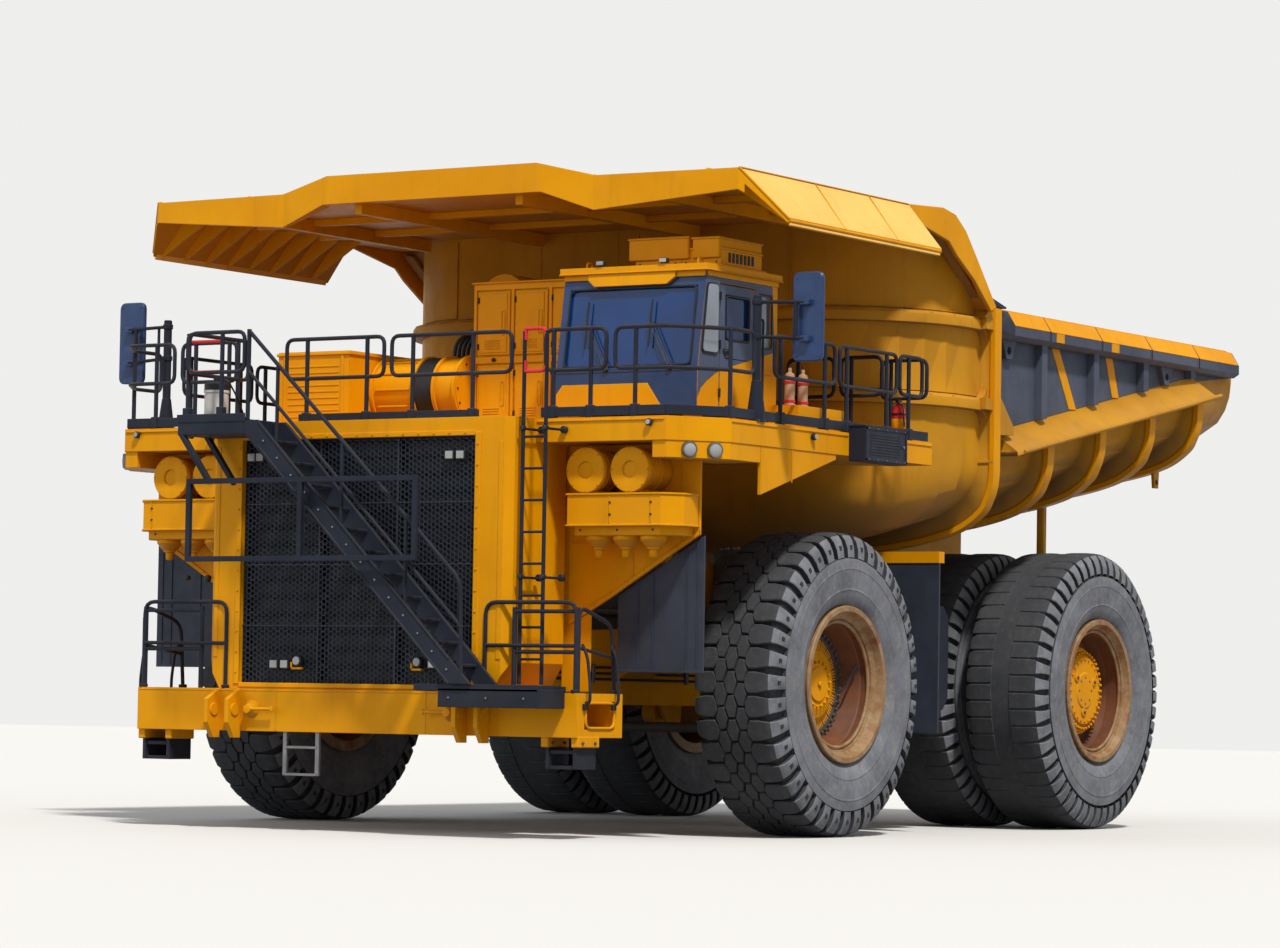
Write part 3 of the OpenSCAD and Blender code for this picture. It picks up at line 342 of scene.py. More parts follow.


# Key, kind, name and colours, then for paint the dust, gloss, wear and painted shade on faces that look
# down, for rubber the dust, for metal the roughness and how metallic it is, for glass how solid it looks,
# and for plain surfaces the roughness
FINISHES = (
    ("yellow", paint, "yellow_paint", YELLOW, YELLOW_DEEP, 0.07),
    ("bed", paint, "bed_paint", srgb(202, 142, 30), srgb(176, 122, 36), 0.30, 0.5, 0.6, 0.7),
    ("side_dark", paint, "bed_side_paint", srgb(84, 90, 106), srgb(58, 64, 80), 0.25, 0.5, 0.25, 0.15),
    # dark and ink are the blue-black paint darkened by painted shade, ink a little more, as the stairs and
    # rails stand in shade
    ("dark", paint, "blue_black_paint", BLUE_BLACK, srgb(34, 38, 48), 0.22, 0.46, 0.25, 0.2),
    ("ink", paint, "ink_paint", srgb(40, 45, 57), srgb(30, 34, 44), 0.10, 0.50, 0.2, 0.1),
    ("pale", paint, "sunlit_yellow_paint", srgb(246, 196, 104), srgb(240, 186, 92), 0.2, 0.5, 0.3),
    ("cab_blue", paint, "blue_grey_paint", BLUE_GREY, srgb(74, 86, 110), 0.12, 0.38, 0.2, 0.2),
    ("tread", rubber, "tread_rubber", RUBBER, srgb(66, 68, 72), 0.10),
    ("sidewall", rubber, "sidewall_rubber", SIDEWALL, srgb(98, 101, 108), 0.45),
    ("rim", rusty, "rim_paint", RIM, srgb(168, 144, 108)),
    # Rust darkened with painted shade, for the deep barrels of the rims
    ("rim_deep", rusty, "rim_rust", srgb(84, 48, 28), srgb(104, 66, 42)),
    ("steel", metal, "dull_steel", srgb(120, 120, 122), 0.45),
    ("chrome", metal, "rod_chrome", srgb(205, 205, 208), 0.16, 1.0),
    ("iron", plain, "cast_iron", srgb(74, 70, 66), 0.6),
    ("glass", glass, "tinted_glass", srgb(8, 46, 96), 0.93),
    ("pane", glass, "pale_glass", srgb(138, 146, 158), 0.90),
    ("lens", glass, "lamp_glass", srgb(150, 152, 150), 0.9),
    ("flap", plain, "flap_rubber", srgb(44, 49, 62), 0.62),
    ("trim", plain, "cab_trim", srgb(46, 46, 50), 0.6),
    ("black", plain, "black_fitting", srgb(28, 30, 34), 0.5),
    ("red", plain, "red_paint", RED, 0.42),
    ("white", plain, "pale_fitting", srgb(196, 192, 186), 0.5),
    # Bottles of the accumulators: their own pale colour, dulled by painted shade
    ("bottle", plain, "bottle_paint", srgb(176, 140, 108), 0.5),
    ("mesh", plain, "grille_mesh", srgb(36, 40, 50), 0.55),
    ("deep_blue", plain, "deep_blue_paint", srgb(34, 54, 92), 0.38),
    ("seat", plain, "seat_cloth", srgb(120, 122, 124), 0.8),
)
MAT = {}


def make_materials():
    for key, kind, *values in FINISHES:
        MAT[key] = kind(*values)


# Mesh tools

CORNERS = list(product((-1, 1), repeat=3))
SQUARE = ((-1, -1), (1, -1), (1, 1), (-1, 1))


def circle(steps, phase=0):
    """Cosine and sine at equal steps round a circle."""
    turns = [2 * math.pi * (k + phase) / steps for k in range(steps)]
    return [(math.cos(a), math.sin(a)) for a in turns]


def square_to(axis):
    """The unit vector along axis and two that stand square to it."""
    axis = Vector(axis).normalized()
    side = axis.orthogonal().normalized()
    return axis, side, axis.cross(side)


def skin(rings, size, loop=False, wrap=True, flip=False):
    """Faces between rings of points; loop joins the last ring to the first, wrap closes each ring."""
    faces = []
    for i in range(rings if loop else rings - 1):
        j = (i + 1) % rings
        for k in range(size if wrap else size - 1):
            m = (k + 1) % size
            a, b, c, d = i * size + k, i * size + m, j * size + m, j * size + k
            faces.append([a, d, c, b] if flip else [a, b, c, d])
    return faces


def signed_area(outline):
    """Positive for an outline that runs anticlockwise."""
    return sum(a[0] * b[1] - b[0] * a[1] for a, b in zip([outline[-1]] + outline, outline))


class Shape:
    """Vertices and faces of one joined piece, built up from simple forms."""

    def __init__(self):
        self.points, self.faces, self.slots = [], [], []

    def add(self, points, faces, slot=0):
        base = len(self.points)
        self.points.extend(Vector(p) for p in points)
        self.faces.extend([base + i for i in face] for face in faces)
        self.slots.extend([slot] * len(faces))

    def sweep(self, rings, slot=0, loop=False):
        """Skin over rings of equal size, capped at both ends unless it closes on itself."""
        size, last = len(rings[0]), len(rings) - 1
        faces = skin(len(rings), size, loop)
        if not loop:
            faces += [list(range(size))[::-1], [last * size + k for k in range(size)]]
        self.add([p for ring in rings for p in ring], faces, slot)

    def box(self, lo, hi, cut=0, slot=0, turn=None):
        """Block with chamfered edges; turn is a matrix applied about its middle."""
        lo, hi = Vector(lo), Vector(hi)
        mid, half = (lo + hi) / 2, (hi - lo) / 2
        cut = min(cut, 0.45 * min(half) * 2)
        points, index, faces = [], {}, []
        for sign in CORNERS:
            for axis in range(3 if cut else 1):
                index[sign, axis] = len(points)
                points.append(Vector([sign[k] * (half[k] - (cut if k != axis else 0)) for k in range(3)]))

        def corner(axis, s, u, v, own):
            sign = [0, 0, 0]
            sign[axis], sign[(axis + 1) % 3], sign[(axis + 2) % 3] = s, u, v
            return index[tuple(sign), own if cut else 0]

        for axis, s in product(range(3), (-1, 1)):
            faces.append([corner(axis, s, u, v, axis) for u, v in SQUARE][::s])
            after = (axis + 1) % 3
            for t in (-1, 1) if cut else ():
                strip = [corner(axis, s, t, -1, axis), corner(axis, s, t, 1, axis),
                         corner(axis, s, t, 1, after), corner(axis, s, t, -1, after)]
                faces.append(strip[::-s * t])
        for sign in CORNERS if cut else ():
            faces.append([index[sign, k] for k in range(3)][::sign[0] * sign[1] * sign[2]])
        if turn is not None:
            points = [turn @ p for p in points]
        self.add([p + mid for p in points], faces, slot)

    def block(self, x, y, z, cut=0, slot=0):
        """Box over three pairs, each in any order, y counted from the front axle."""
        lo, hi = zip(sorted(x), sorted(y), sorted(z))
        self.box(at(*lo), at(*hi), cut, slot)

    def lathe(self, centre, axis, profile, steps=48, slot=0, closed=False):
        """Profile of (radius, along) turned about axis through centre."""
        axis, side, other = square_to(axis)
        centre = Vector(centre)
        points = []
        for c, s in circle(steps):
            out = side * c + other * s
            points += [centre + axis * along + out * radius for radius, along in profile]
        self.add(points, skin(steps, len(profile), True, closed, True), slot)

    def collar(self, foot, axis, inner, outer, length, bevel=0.004, steps=48, slot=0):
        """Band round a shaft, with bevelled edges."""
        self.lathe(foot, axis, [(inner, 0), (outer, bevel), (outer, length - bevel), (inner, length)],
                   steps, slot)

    def rod(self, a, b, r, steps=12, slot=0, cap=0):
        """Closed round bar from a to b with small chamfers."""
        a, b = Vector(a), Vector(b)
        length = (b - a).length
        cap = min(cap, r * 0.5, length * 0.4)
        profile = [(0, 0), (r - cap, 0), (r, cap), (r, length - cap), (r - cap, length), (0, length)]
        if not cap:
            profile = [(0, 0), (r, 0), (r, length), (0, length)]
        self.lathe(a, b - a, profile, steps, slot)

    def studs(self, xs, ys, zs, step, r, steps=6, slot=0, cap=0.003):
        """Bars along step from every place in xs, ys and zs, y counted from the front axle."""
        for place in product(*(v if isinstance(v, (tuple, list)) else (v,) for v in (xs, ys, zs))):
            self.rod(at(*place), at(*(p + d for p, d in zip(place, step))), r, steps, slot, cap)

    def tube(self, path, r, bend=0, steps=8, slot=0, closed=False):
        """Round tube along a path whose corners are rounded by bend."""
        path = [Vector(p) for p in path]
        if bend:
            path = rounded(path, bend, closed)
        n = len(path)
        rings, side = [], None
        for i in range(n):
            before = path[i - 1] if i or closed else path[i]
            after = path[(i + 1) % n] if i < n - 1 or closed else path[i]
            ahead = (after - before).normalized()
            if side is None:
                side = ahead.orthogonal().normalized()
            side = (side - ahead * side.dot(ahead)).normalized()
            other = ahead.cross(side)
            rings.append([path[i] + r * (side * c + other * s) for c, s in circle(steps)])
        self.sweep(rings, slot, closed)

    def pipe(self, path, r, bend=0, steps=8, slot=0, closed=False):
        """Tube through plain points, y counted from the front axle."""
        self.tube([at(*p) for p in path], r, bend, steps, slot, closed)

    def frame(self, x, y, z, bend, r, steps=8, slot=0):
        """Closed tube round a rectangle: one of x, y and z is a number, the others are pairs."""
        first, second = [v for v in (x, y, z) if isinstance(v, tuple)]
        corners = []
        for u, v in ((0, 0), (1, 0), (1, 1), (0, 1)):
            picks = iter((first[u], second[v]))
            corners.append([next(picks) if isinstance(p, tuple) else p for p in (x, y, z)])
        self.tube(rounded_loop(corners, bend), r, 0, steps, slot, True)

    def prism(self, outline, axis, low, high, slot=0, cut=0):
        """Outline in the two other axes, in their cyclic order, drawn out along axis from low to high."""
        levels = [(low, 0), (high, 0)]
        if cut:
            levels = [(low, cut), (low + cut, 0), (high - cut, 0), (high, cut)]
        outline = outline if signed_area(outline) > 0 else outline[::-1]
        rings = []
        for level, inset in levels:
            ring = []
            for u, v in inset_outline(outline, inset) if inset else outline:
                p = [0, 0, 0]
                p[axis], p[(axis + 1) % 3], p[(axis + 2) % 3] = level, u, v
                ring.append(Vector(p))
            rings.append(ring)
        self.sweep(rings, slot)

    def plate(self, axis, outline, low, high, slot=0, cut=0, side=1):
        """Prism along x, y or z; the outline lists the two other places, y counted from the front axle."""
        if axis == "x":
            self.prism([(y + AXLE_Y, z) for y, z in outline], 0, low, high, slot, cut)
        elif axis == "y":
            self.prism([(z, side * x) for x, z in outline], 1, low + AXLE_Y, high + AXLE_Y, slot, cut)
        else:
            self.prism([(x, y + AXLE_Y) for x, y in outline], 2, low, high, slot, cut)

    def ring_of_bolts(self, centre, axis, radius, count, size, height, slot=0):
        """Hexagon heads on a circle."""
        axis, side, other = square_to(axis)
        for c, s in circle(count):
            foot = Vector(centre) + radius * (side * c + other * s)
            self.rod(foot, foot + axis * height, size, 6, slot, size * 0.18)

    def mirrored(self):
        """The same shape on the other side of the truck."""
        other = Shape()
        other.points = [Vector((-p.x, p.y, p.z)) for p in self.points]
        other.faces = [face[::-1] for face in self.faces]
        other.slots = list(self.slots)
        return other

    def join(self, other):
        base = len(self.points)
        self.points += other.points
        self.faces += [[base + i for i in face] for face in other.faces]
        self.slots += other.slots
        return self

    def piece(self, name, body, slot, mats, angle=35):
        """Makes the object, which rides on body and takes its finishes from mats; slot is not used."""
        mesh = bpy.data.meshes.new(name)
        mesh.from_pydata([tuple(p) for p in self.points], [], self.faces)
        for key in mats if isinstance(mats, list) else [mats]:
            mesh.materials.append(MAT[key])
        mesh.polygons.foreach_set("material_index", self.slots)
        mesh.polygons.foreach_set("use_smooth", [True] * len(self.faces))
        mesh.set_sharp_from_angle(angle=math.radians(angle))
        mesh.update()
        obj = bpy.data.objects.new(name, mesh)
        bpy.context.scene.collection.objects.link(obj)
        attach(obj, body)
        return obj


def inset_outline(outline, d):
    """Outline moved inwards by d; it runs anticlockwise."""
    moved, n = [], len(outline)
    for i in range(n):
        before, here, after = outline[i - 1], outline[i], outline[(i + 1) % n]
        e1 = Vector((here[0] - before[0], here[1] - before[1])).normalized()
        e2 = Vector((after[0] - here[0], after[1] - here[1])).normalized()
        n1, n2 = Vector((-e1.y, e1.x)), Vector((-e2.y, e2.x))
        share = d / max(0.3, 1 + n1.dot(n2))
        moved.append((here[0] + (n1.x + n2.x) * share, here[1] + (n1.y + n2.y) * share))
    return moved


def rounded(path, bend, closed, arc_steps=4):
    """Path with its corners rounded."""
    out, n = [], len(path)
    for i, p in enumerate(path):
        if not closed and i in (0, n - 1):
            out.append(p)
            continue
        a, b = path[i - 1] - p, path[(i + 1) % n] - p
        reach = min(bend, a.length * 0.48, b.length * 0.48)
        a, b = a.normalized() * reach, b.normalized() * reach
        for k in range(arc_steps + 1):
            t = k / arc_steps
            out.append(p + a * (1 - t) ** 2 + b * t ** 2)
    return out


def rounded_loop(corners, bend):
    """Closed path through plain points, y counted from the front axle."""
    return rounded([at(*p) for p in corners], bend, True, 5)


def rounded_plan(corners, bend):
    """Closed outline of (u, v) pairs with rounded corners."""
    return [(p.x, p.y) for p in rounded([Vector((*c, 0)) for c in corners], bend, True, 5)]


def row(start, step, count):
    return [start + step * k for k in range(count)]


def about(middle, half):
    return middle - half, middle + half


# Wheels

TYRE_HALF = 0.575
TIP_R = 1.779
LUGS, WORN_LUGS = 40, 52
# Half section of the carcass, [radius, distance from the middle plane]
CARCASS = [(0.917, 0.455), (0.985, 0.522), (1.06, 0.545), (1.1, 0.557), (1.104, 0.561), (1.12, 0.561),
           (1.124, 0.559), (1.22, 0.57), (1.34, 0.5725), (1.344, 0.5765), (1.36, 0.5765), (1.364, 0.571),
           (1.44, 0.565), (1.472, 0.56), (1.486, 0.505), (1.6, 0.488)]
CROWN = [(1.665, 0.465), (1.702, 0.42), (1.706, 0.3)]
WORN_CROWN = [(1.68, 0.47), (1.735, 0.45), (1.76, 0.4), (1.766, 0.3), (1.768, 0.15)]
# Outer line of a shoulder lug from the sidewall to the crown, [radius, distance, share of the pitch]
LUG_LINE = [(1.485, 0.562, 0.62), (1.6, 0.553, 0.62), (1.69, 0.524, 0.64), (1.745, 0.484, 0.68),
            (1.772, 0.43, 0.78), (1.779, 0.33, 0.9), (1.78, 0.235, 0.88), (1.78, 0.195, 0.4)]
WORN_LINE = [(1.51, 0.56, 0.58), (1.6, 0.552, 0.6), (1.69, 0.524, 0.66), (1.745, 0.484, 0.8),
             (1.771, 0.43, 0.93), (1.778, 0.33, 0.94), (1.779, 0.2, 0.93), (1.779, 0.13, 0.9)]
LUG_ROOT = 0.1
ACROSS, FORWARD, UP = (1, 0, 0), (0, -1, 0), (0, 0, 1)


def wheel_point(mid, radius, along, angle):
    return mid + Vector((along, radius * math.sin(angle), radius * math.cos(angle)))


def shoulder_lug(tyre, mid, side, angle, pitch, line):
    """One lug with bevelled ends; side is 1 or -1 along X."""
    lug, n = Shape(), len(line)
    rings = []
    for share, inset in ((-0.5, 0.012), (-0.44, 0), (0.44, 0), (0.5, 0.012)):
        ring = [(radius - inset, along - inset * 0.3, width) for radius, along, width in line]
        ring += [(radius - LUG_ROOT, along - 0.07, width) for radius, along, width in (line[-1], line[0])]
        rings.append([wheel_point(mid, radius, side * along, angle + share * width * pitch)
                      for radius, along, width in ring])
    lug.sweep(rings)
    # The root stays open; the first strips belong to the sidewall
    kept = [face for face in lug.faces if len(face) > 4 or face[0] % (n + 2) < n]
    lug.slots = [1 if len(face) == 4 and face[0] % (n + 2) < 3 else 0 for face in kept]
    lug.faces = [face[::side] for face in kept]
    tyre.join(lug)


def tread_block(tyre, mid, along, angle, jitter):
    """Six-sided block of the crown with a bevelled top."""
    half_w, half_l, tip = 0.08, 0.128, 0.46
    outline = [(-1, 0), (-tip, -1), (tip, -1), (1, 0), (tip, 1), (-tip, 1)]
    outline = [(u * half_w + jitter(), v * half_l + jitter()) for u, v in outline]
    points = [wheel_point(mid, radius, along + u * shrink, angle + v * shrink / TIP_R)
              for radius, shrink in ((1.7, 1.04), (TIP_R - 0.012, 1), (TIP_R, 0.93)) for u, v in outline]
    top = len(points)
    fan = [[top - 6 + i, top, top - 6 + (i + 1) % 6] for i in range(6)]
    tyre.add(points + [wheel_point(mid, TIP_R + 0.002, along, angle)], skin(3, 6, flip=True) + fan)


def make_tyre(mid, worn, seed, phase):
    """Tyre about the X axis through mid. A worn one has shallow cuts and a plain middle."""
    dice = random.Random(seed)
    tyre = Shape()
    half = CARCASS + (WORN_CROWN if worn else CROWN)
    profile = [(r, -x) for r, x in half] + [(half[-1][0], 0)] + half[::-1] + [(0.917, 0)]
    tyre.lathe(mid, ACROSS, profile, 144, closed=True)
    rows, side_rows = len(profile), len(CARCASS) - 3
    tyre.slots = [1 if i % rows < side_rows or i % rows >= rows - 2 - side_rows else 0
                  for i in range(len(tyre.faces))]
    lugs = WORN_LUGS if worn else LUGS
    pitch = 2 * math.pi / lugs
    for i, side in product(range(lugs), (-1, 1)):
        turn = pitch * (i + phase + (0.5 if worn and side < 0 else 0))
        shoulder_lug(tyre, mid, side, turn, pitch, WORN_LINE if worn else LUG_LINE)
        if not worn:
            # A black patch on each shoulder lug stands for a hole: painted shade
            hole, half_hole = wheel_point(mid, 1.6, side * 0.5525, turn), Vector((0.006, 0.022, 0.026))
            tyre.box(hole - half_hole, hole + half_hole, slot=2, turn=Matrix.Rotation(-turn, 3, "X"))
    if not worn:
        for i, (along, shift) in product(range(lugs), ((0, 0), (-0.135, 0.5), (0.135, 0.5))):
            tread_block(tyre, mid, along, pitch * (i + phase + shift), lambda: dice.uniform(-0.006, 0.006))
    return tyre


def make_wheels():
    specs = []
    for side, sign in (("left", 1), ("right", -1)):
        lo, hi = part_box("tyre_front_" + side)
        specs.append(("tyre_front_" + side, "", (lo.x + hi.x) / 2, AXLE_Y, "wheel_front_" + side))
        lo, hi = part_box("tyres_rear_" + side)
        ends = (hi.x - TYRE_HALF, lo.x + TYRE_HALF)[::sign]
        for word, x in zip(("_outer", "_inner"), ends):
            specs.append(("tyres_rear_" + side, word, x, REAR_Y, "wheel_rear_" + side))
    for number, (node, word, x, y, body) in enumerate(specs):
        tyre = make_tyre(Vector((x, y, AXLE_Z)), bool(word), number, 0.3 * number)
        piece = tyre.piece(node + word + "_tread", body, "tyre_rubber", ["tread", "sidewall", "black"], 28)
        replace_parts(piece, node)


def dish(shape, centre, out, throat, back, floor, slot):
    """Flange from a rim's mouth to its throat, and the barrel behind it in rust darkened by painted shade;
    floor is its depth.
    """
    mouth = 0.868
    shape.lathe(centre, ACROSS, [(mouth, out - 0.04), (mouth - 0.02, out - 0.055),
                                 (throat + 0.055, out - back + 0.035),
                                 (throat + 0.035, out - back + 0.034), (throat + 0.03, out - back),
                                 (throat, out - back), (throat + 0.02, out - back - 0.02),
                                 (mouth + 0.01, out - 0.06)], 96, 0, True)
    shape.lathe(centre, ACROSS, [(throat, out - back), (throat, out - floor), (throat + 0.02, out - floor),
                                 (throat + 0.02, out - back)], 96, slot, True)


def lock_rings(trim, centre, out, rings):
    for radius, back, thick in rings:
        trim.lathe(centre, ACROSS, [(radius + thick * c, out - back + thick * s) for c, s in circle(8)],
                   96, 0, True)


def front_rim(trim, centre, out):
    lock_rings(trim, centre, out, ((0.9, 0.02, 0.022), (0.862, 0.045, 0.018), (0.735, 0.15, 0.022)))
    dish(trim, centre, out, 0.735, 0.15, 0.51, 4)
    hub = centre + Vector((out - 0.41, 0, 0))
    trim.ring_of_bolts(hub - Vector((0.1, 0, 0)), ACROSS, 0.605, 44, 0.021, 0.07, 2)
    trim.lathe(hub - Vector((0.085, 0, 0)), ACROSS,
               [(0.56, 0), (0.56, 0.016), (0.645, 0.016), (0.645, 0)], 96, 2)
    trim.ring_of_bolts(hub, ACROSS, 0.262, 18, 0.019, 0.03, 1)
    trim.lathe(hub, ACROSS, [(0, 0.024), (0.2, 0.02), (0.215, 0)], 48, 1)
    trim.rod(hub, hub + Vector((0.05, 0, 0)), 0.035, 12, 1, 0.01)
    valve = ((0.01, 0.42, -0.08), (0.07, 0.52, -0.05), (0.1, 0.6, 0.1), (0.16, 0.64, 0.22))
    trim.tube([hub + Vector(p) for p in valve], 0.014, 0.05, 8, 3)


def rear_rim(trim, centre, out):
    lock_rings(trim, centre, out, ((0.9, 0.02, 0.022), (0.862, 0.045, 0.016), (0.765, 0.115, 0.02)))
    dish(trim, centre, out, 0.765, 0.115, 0.3, 3)
    cover = centre + Vector((out - 0.23, 0, 0))
    trim.ring_of_bolts(cover - Vector((0.05, 0, 0)), ACROSS, 0.49, 40, 0.02, 0.05, 1)
    trim.ring_of_bolts(cover, ACROSS, 0.4, 24, 0.014, 0.02, 1)
    trim.ring_of_bolts(cover, ACROSS, 0.17, 8, 0.016, 0.02, 2)
    for c, s in circle(3, 0.2):
        boss = cover + Vector((0, 0.28 * c, 0.28 * s))
        cap = boss + Vector((0.018, 0, 0))
        trim.rod(boss, cap, 0.06, 20, 1, 0.006)
        trim.rod(cap, cap + Vector((0.017, 0, 0)), 0.022, 6, 2, 0.004)


def make_rim_trim():
    """Lock rings, bolt circles and valves on the rims, left then mirrored."""
    for build, node, word, y, mats in (
            (front_rim, "rim_front_left", "front_", AXLE_Y, ["rim", "yellow", "iron", "black", "rim_deep"]),
            (rear_rim, "rims_rear_left", "rear_", REAR_Y, ["rim", "yellow", "iron", "rim_deep"])):
        trim = Shape()
        build(trim, Vector((0, y, AXLE_Z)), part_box(node)[1].x)
        trim.piece("rim_trim_" + word + "left", "wheel_" + word + "left", "rim_paint", mats)
        trim.mirrored().piece("rim_trim_" + word + "right", "wheel_" + word + "right", "rim_paint", mats)


# Handrails

RAIL_R = 0.024
DECK_Z = 4.7
RAIL_LOW, RAIL_HIGH = 5.24, 5.7
EDGE_Y = -3.56
SIDE_X = 4.24
KICK_Y, KICK_Z = (-3.585, -3.565), (DECK_Z + 0.015, DECK_Z + 0.125)


def rail_loop(shape, *path):
    """Closed hoop of tube that stands upright over a plan path of (x, y) points."""
    hoop = [(x, y, RAIL_HIGH) for x, y in path] + [(x, y, RAIL_LOW) for x, y in reversed(path)]
    shape.pipe(hoop, RAIL_R, 0.1, closed=True)


def rail_post(shape, x, y):
    shape.studs(x, y, DECK_Z, (0, 0, RAIL_HIGH - DECK_Z), 0.026, 10, cap=0)
    shape.block(about(x, 0.045), about(y, 0.045), (DECK_Z, DECK_Z + 0.14), 0.008)


def make_handrails():
    shape = Shape()
    # Front edge between the stairs and the ladder, then its posts
    for x0, x1 in ((-1.45, -0.05), (0.06, 1.73)):
        rail_loop(shape, (x0, EDGE_Y), (x1, EDGE_Y))
    posts = [(x, EDGE_Y) for x in (-1.15, -0.29, 0.36, 1.2)]
    for side in (1, -1):
        rail_loop(shape, (side * 2.19, EDGE_Y), (side * 3, EDGE_Y))
        bent = ((3.12, EDGE_Y), (3.8, EDGE_Y), (SIDE_X, -2.93), (SIDE_X, -2.42))
        rail_loop(shape, *((side * x, y) for x, y in bent))
        for y0, y1 in ((-1.97, -0.6), (-0.49, 0.87), (0.95, 1.5)):
            rail_loop(shape, (side * SIDE_X, y0), (side * SIDE_X, y1))
        # Kick plates
        shape.block((side * 2.15, side * 3.8), KICK_Y, KICK_Z, 0.004)
        shape.block(about(side * (SIDE_X + 0.018), 0.01), (-2.9, 1.62), KICK_Z, 0.004)
        a, b = Vector((side * 3.8, EDGE_Y - 0.015)), Vector((side * (SIDE_X + 0.018), -2.93))
        ahead = (b - a).normalized() * 0.01
        out = Vector((-ahead.y, ahead.x))
        shape.plate("z", [a - out, b - out, b + out, a + out], *KICK_Z)
        # Loops before the bed and at the rear end of the deck's side
        for x0, x1, y in ((2.66, 3.3, 1.02), (3.4, 3.96, 1.02), (SIDE_X, 3.62, 1.62)):
            rail_loop(shape, (side * x0, y), (side * x1, y))
        posts += [(side * x, y) for x, y in ((2.3, EDGE_Y), (2.8, EDGE_Y), (3.39, EDGE_Y),
                                             (2.8, 1.02), (3.54, 1.02), (3.75, 1.62))]
        posts += [(side * SIDE_X, y) for y in (-2.93, -1.83, -0.83, -0.32, 0.63, 1.17)]
    shape.block((-1.25, 1.3), KICK_Y, KICK_Z, 0.004)
    # Round the platform at the head of the stairs
    rail_loop(shape, (-2.02, -3.56), (-2.02, -4.7))
    rail_loop(shape, (-1.98, -4.72), (-1.18, -4.72))
    for x, y in posts + [(-2.02, -3.75), (-2.02, -4.68), (-1.5, -4.72)]:
        rail_post(shape, x, y)
    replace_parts(shape.piece("handrails", "chassis", "blue_black_paint", "dark"), "deck_rails")


def strip_xz(shape, a, b, half, y0, y1):
    """Flat bar in an upright plane across the truck, between two (x, z) points."""
    a, b = Vector(a), Vector(b)
    ahead = (b - a).normalized()
    out = Vector((-ahead.y, ahead.x)) * half
    points = [at(c.x, y, c.y) for y in (y0, y1) for c in (a - out, b - out, b + out, a + out)]
    shape.add(points, [[0, 1, 2, 3], [0, 4, 5, 1], [3, 2, 6, 7]])


# Nose

HOUSING_Y = -4.11
OPEN_HALF = 1.635
OPEN_Z = (1.69, 4.49)
BUMPER_Y = -4.16
BUMPER_Z = (1.13, 1.62)
BUMPER_HALF = 3.08


def make_grille_mesh():
    """Honeycomb screen before the bars, with its two holders."""
    shape = Shape()
    side, wire = 0.036, 0.0055
    y0, y1 = HOUSING_Y + 0.04, HOUSING_Y + 0.05
    rise = side * math.sqrt(3)
    for i, j in product(range(int(2 * OPEN_HALF / (1.5 * side))),
                        range(int((OPEN_Z[1] - OPEN_Z[0]) / rise))):
        x = -OPEN_HALF + side + 1.5 * side * i
        z = OPEN_Z[0] + rise * (j + 0.5 + (0.5 if i % 2 else 0))
        if z + rise / 2 > OPEN_Z[1]:
            continue
        ring = [(x + side * math.cos(math.pi * k / 3), z + side * math.sin(math.pi * k / 3))
                for k in (-1, 0, 1, 2)]
        for a, b in zip(ring, ring[1:]):
            strip_xz(shape, a, b, wire, y0, y1)
    for x in (-0.545, 0.545):
        shape.block(about(x, 0.01), (y0 - 0.002, y1 + 0.004), OPEN_Z, 0.003)
    for z in (2.35, 3.05, 3.75):
        shape.block((-OPEN_HALF, OPEN_HALF), (y0 - 0.002, y1 + 0.004), about(z, 0.008), 0.003)
    shape.piece("grille_mesh", "chassis", "blue_black_paint", "mesh")


def make_nose_lamps():
    shape = Shape()
    front, back = HOUSING_Y - 0.012, HOUSING_Y + 0.05
    for x, z in ((1.28, 4.275), (1.43, 4.275), (-1.51, 4.295), (-1.39, 4.295),
                 (-1.13, 1.905), (-0.98, 1.905), (1.1, 1.925), (1.24, 1.925)):
        shape.block(about(x, 0.062), (front, back), about(z, 0.055), 0.008)
        shape.block(about(x, 0.05), (front - 0.012, front + 0.004), about(z, 0.043), 0.006, 1)
    for x in (-0.79, 0.9):
        shape.studs(x, back, 1.945, (0, -0.082, 0), 0.062, 24, 0, 0.012)
        shape.studs(x, front - 0.018, 1.945, (0, -0.01, 0), 0.048, 24, 1, 0.004)
        shape.block((x - 0.1, x + 0.05), (front, back), (1.845, 1.872), 0.005, 2)
        shape.block((x - 0.1, x - 0.075), (front, back), (1.845, 1.93), 0.005, 2)
    shape.piece("nose_lamps", "chassis", "lamp_lens", ["black", "lens", "yellow"])


def make_housing_trim():
    """Flanges round the grille's opening, with seams and bolts on the posts."""
    shape = Shape()
    y0, y1 = HOUSING_Y - 0.014, HOUSING_Y + 0.012
    low, high = OPEN_Z
    for side in (-1, 1):
        shape.block((side * OPEN_HALF, side * (OPEN_HALF + 0.075)), (y0, y1), (low - 0.02, high + 0.04),
                    0.005)
        shape.studs(side * (OPEN_HALF + 0.0375), y0, row(low + 0.12, 0.235, 12), (0, -0.01, 0), 0.012,
                    cap=0.002)
        shape.block((side * 1.955, side * 2.015), (y0 + 0.006, y1), (1.98, 4.42), 0.004)
        # Latches of the ladder on the chamfered post
        for y, out, r in ((-3.97, -0.075, 0.03), (-3.66, 0.06, 0.042)):
            shape.studs((side * 2.2, side * 2.5), y, (2.905, 4.565), (0, out, 0), r, 12, 1, 0.008)
    for z in ((high, high + 0.06), (low - 0.055, low)):
        shape.block((-OPEN_HALF, OPEN_HALF), (y0, y1), z, 0.005)
    shape.studs(row(-1.5, 3 / 14, 15), y0, high + 0.03, (0, -0.01, 0), 0.012, cap=0.002)
    shape.block((-2.1, 2.1), (-3.625, -3.585), (4.55, 4.7), 0.006)
    shape.piece("housing_trim", "chassis", "chrome_yellow_paint", ["yellow", "black"])


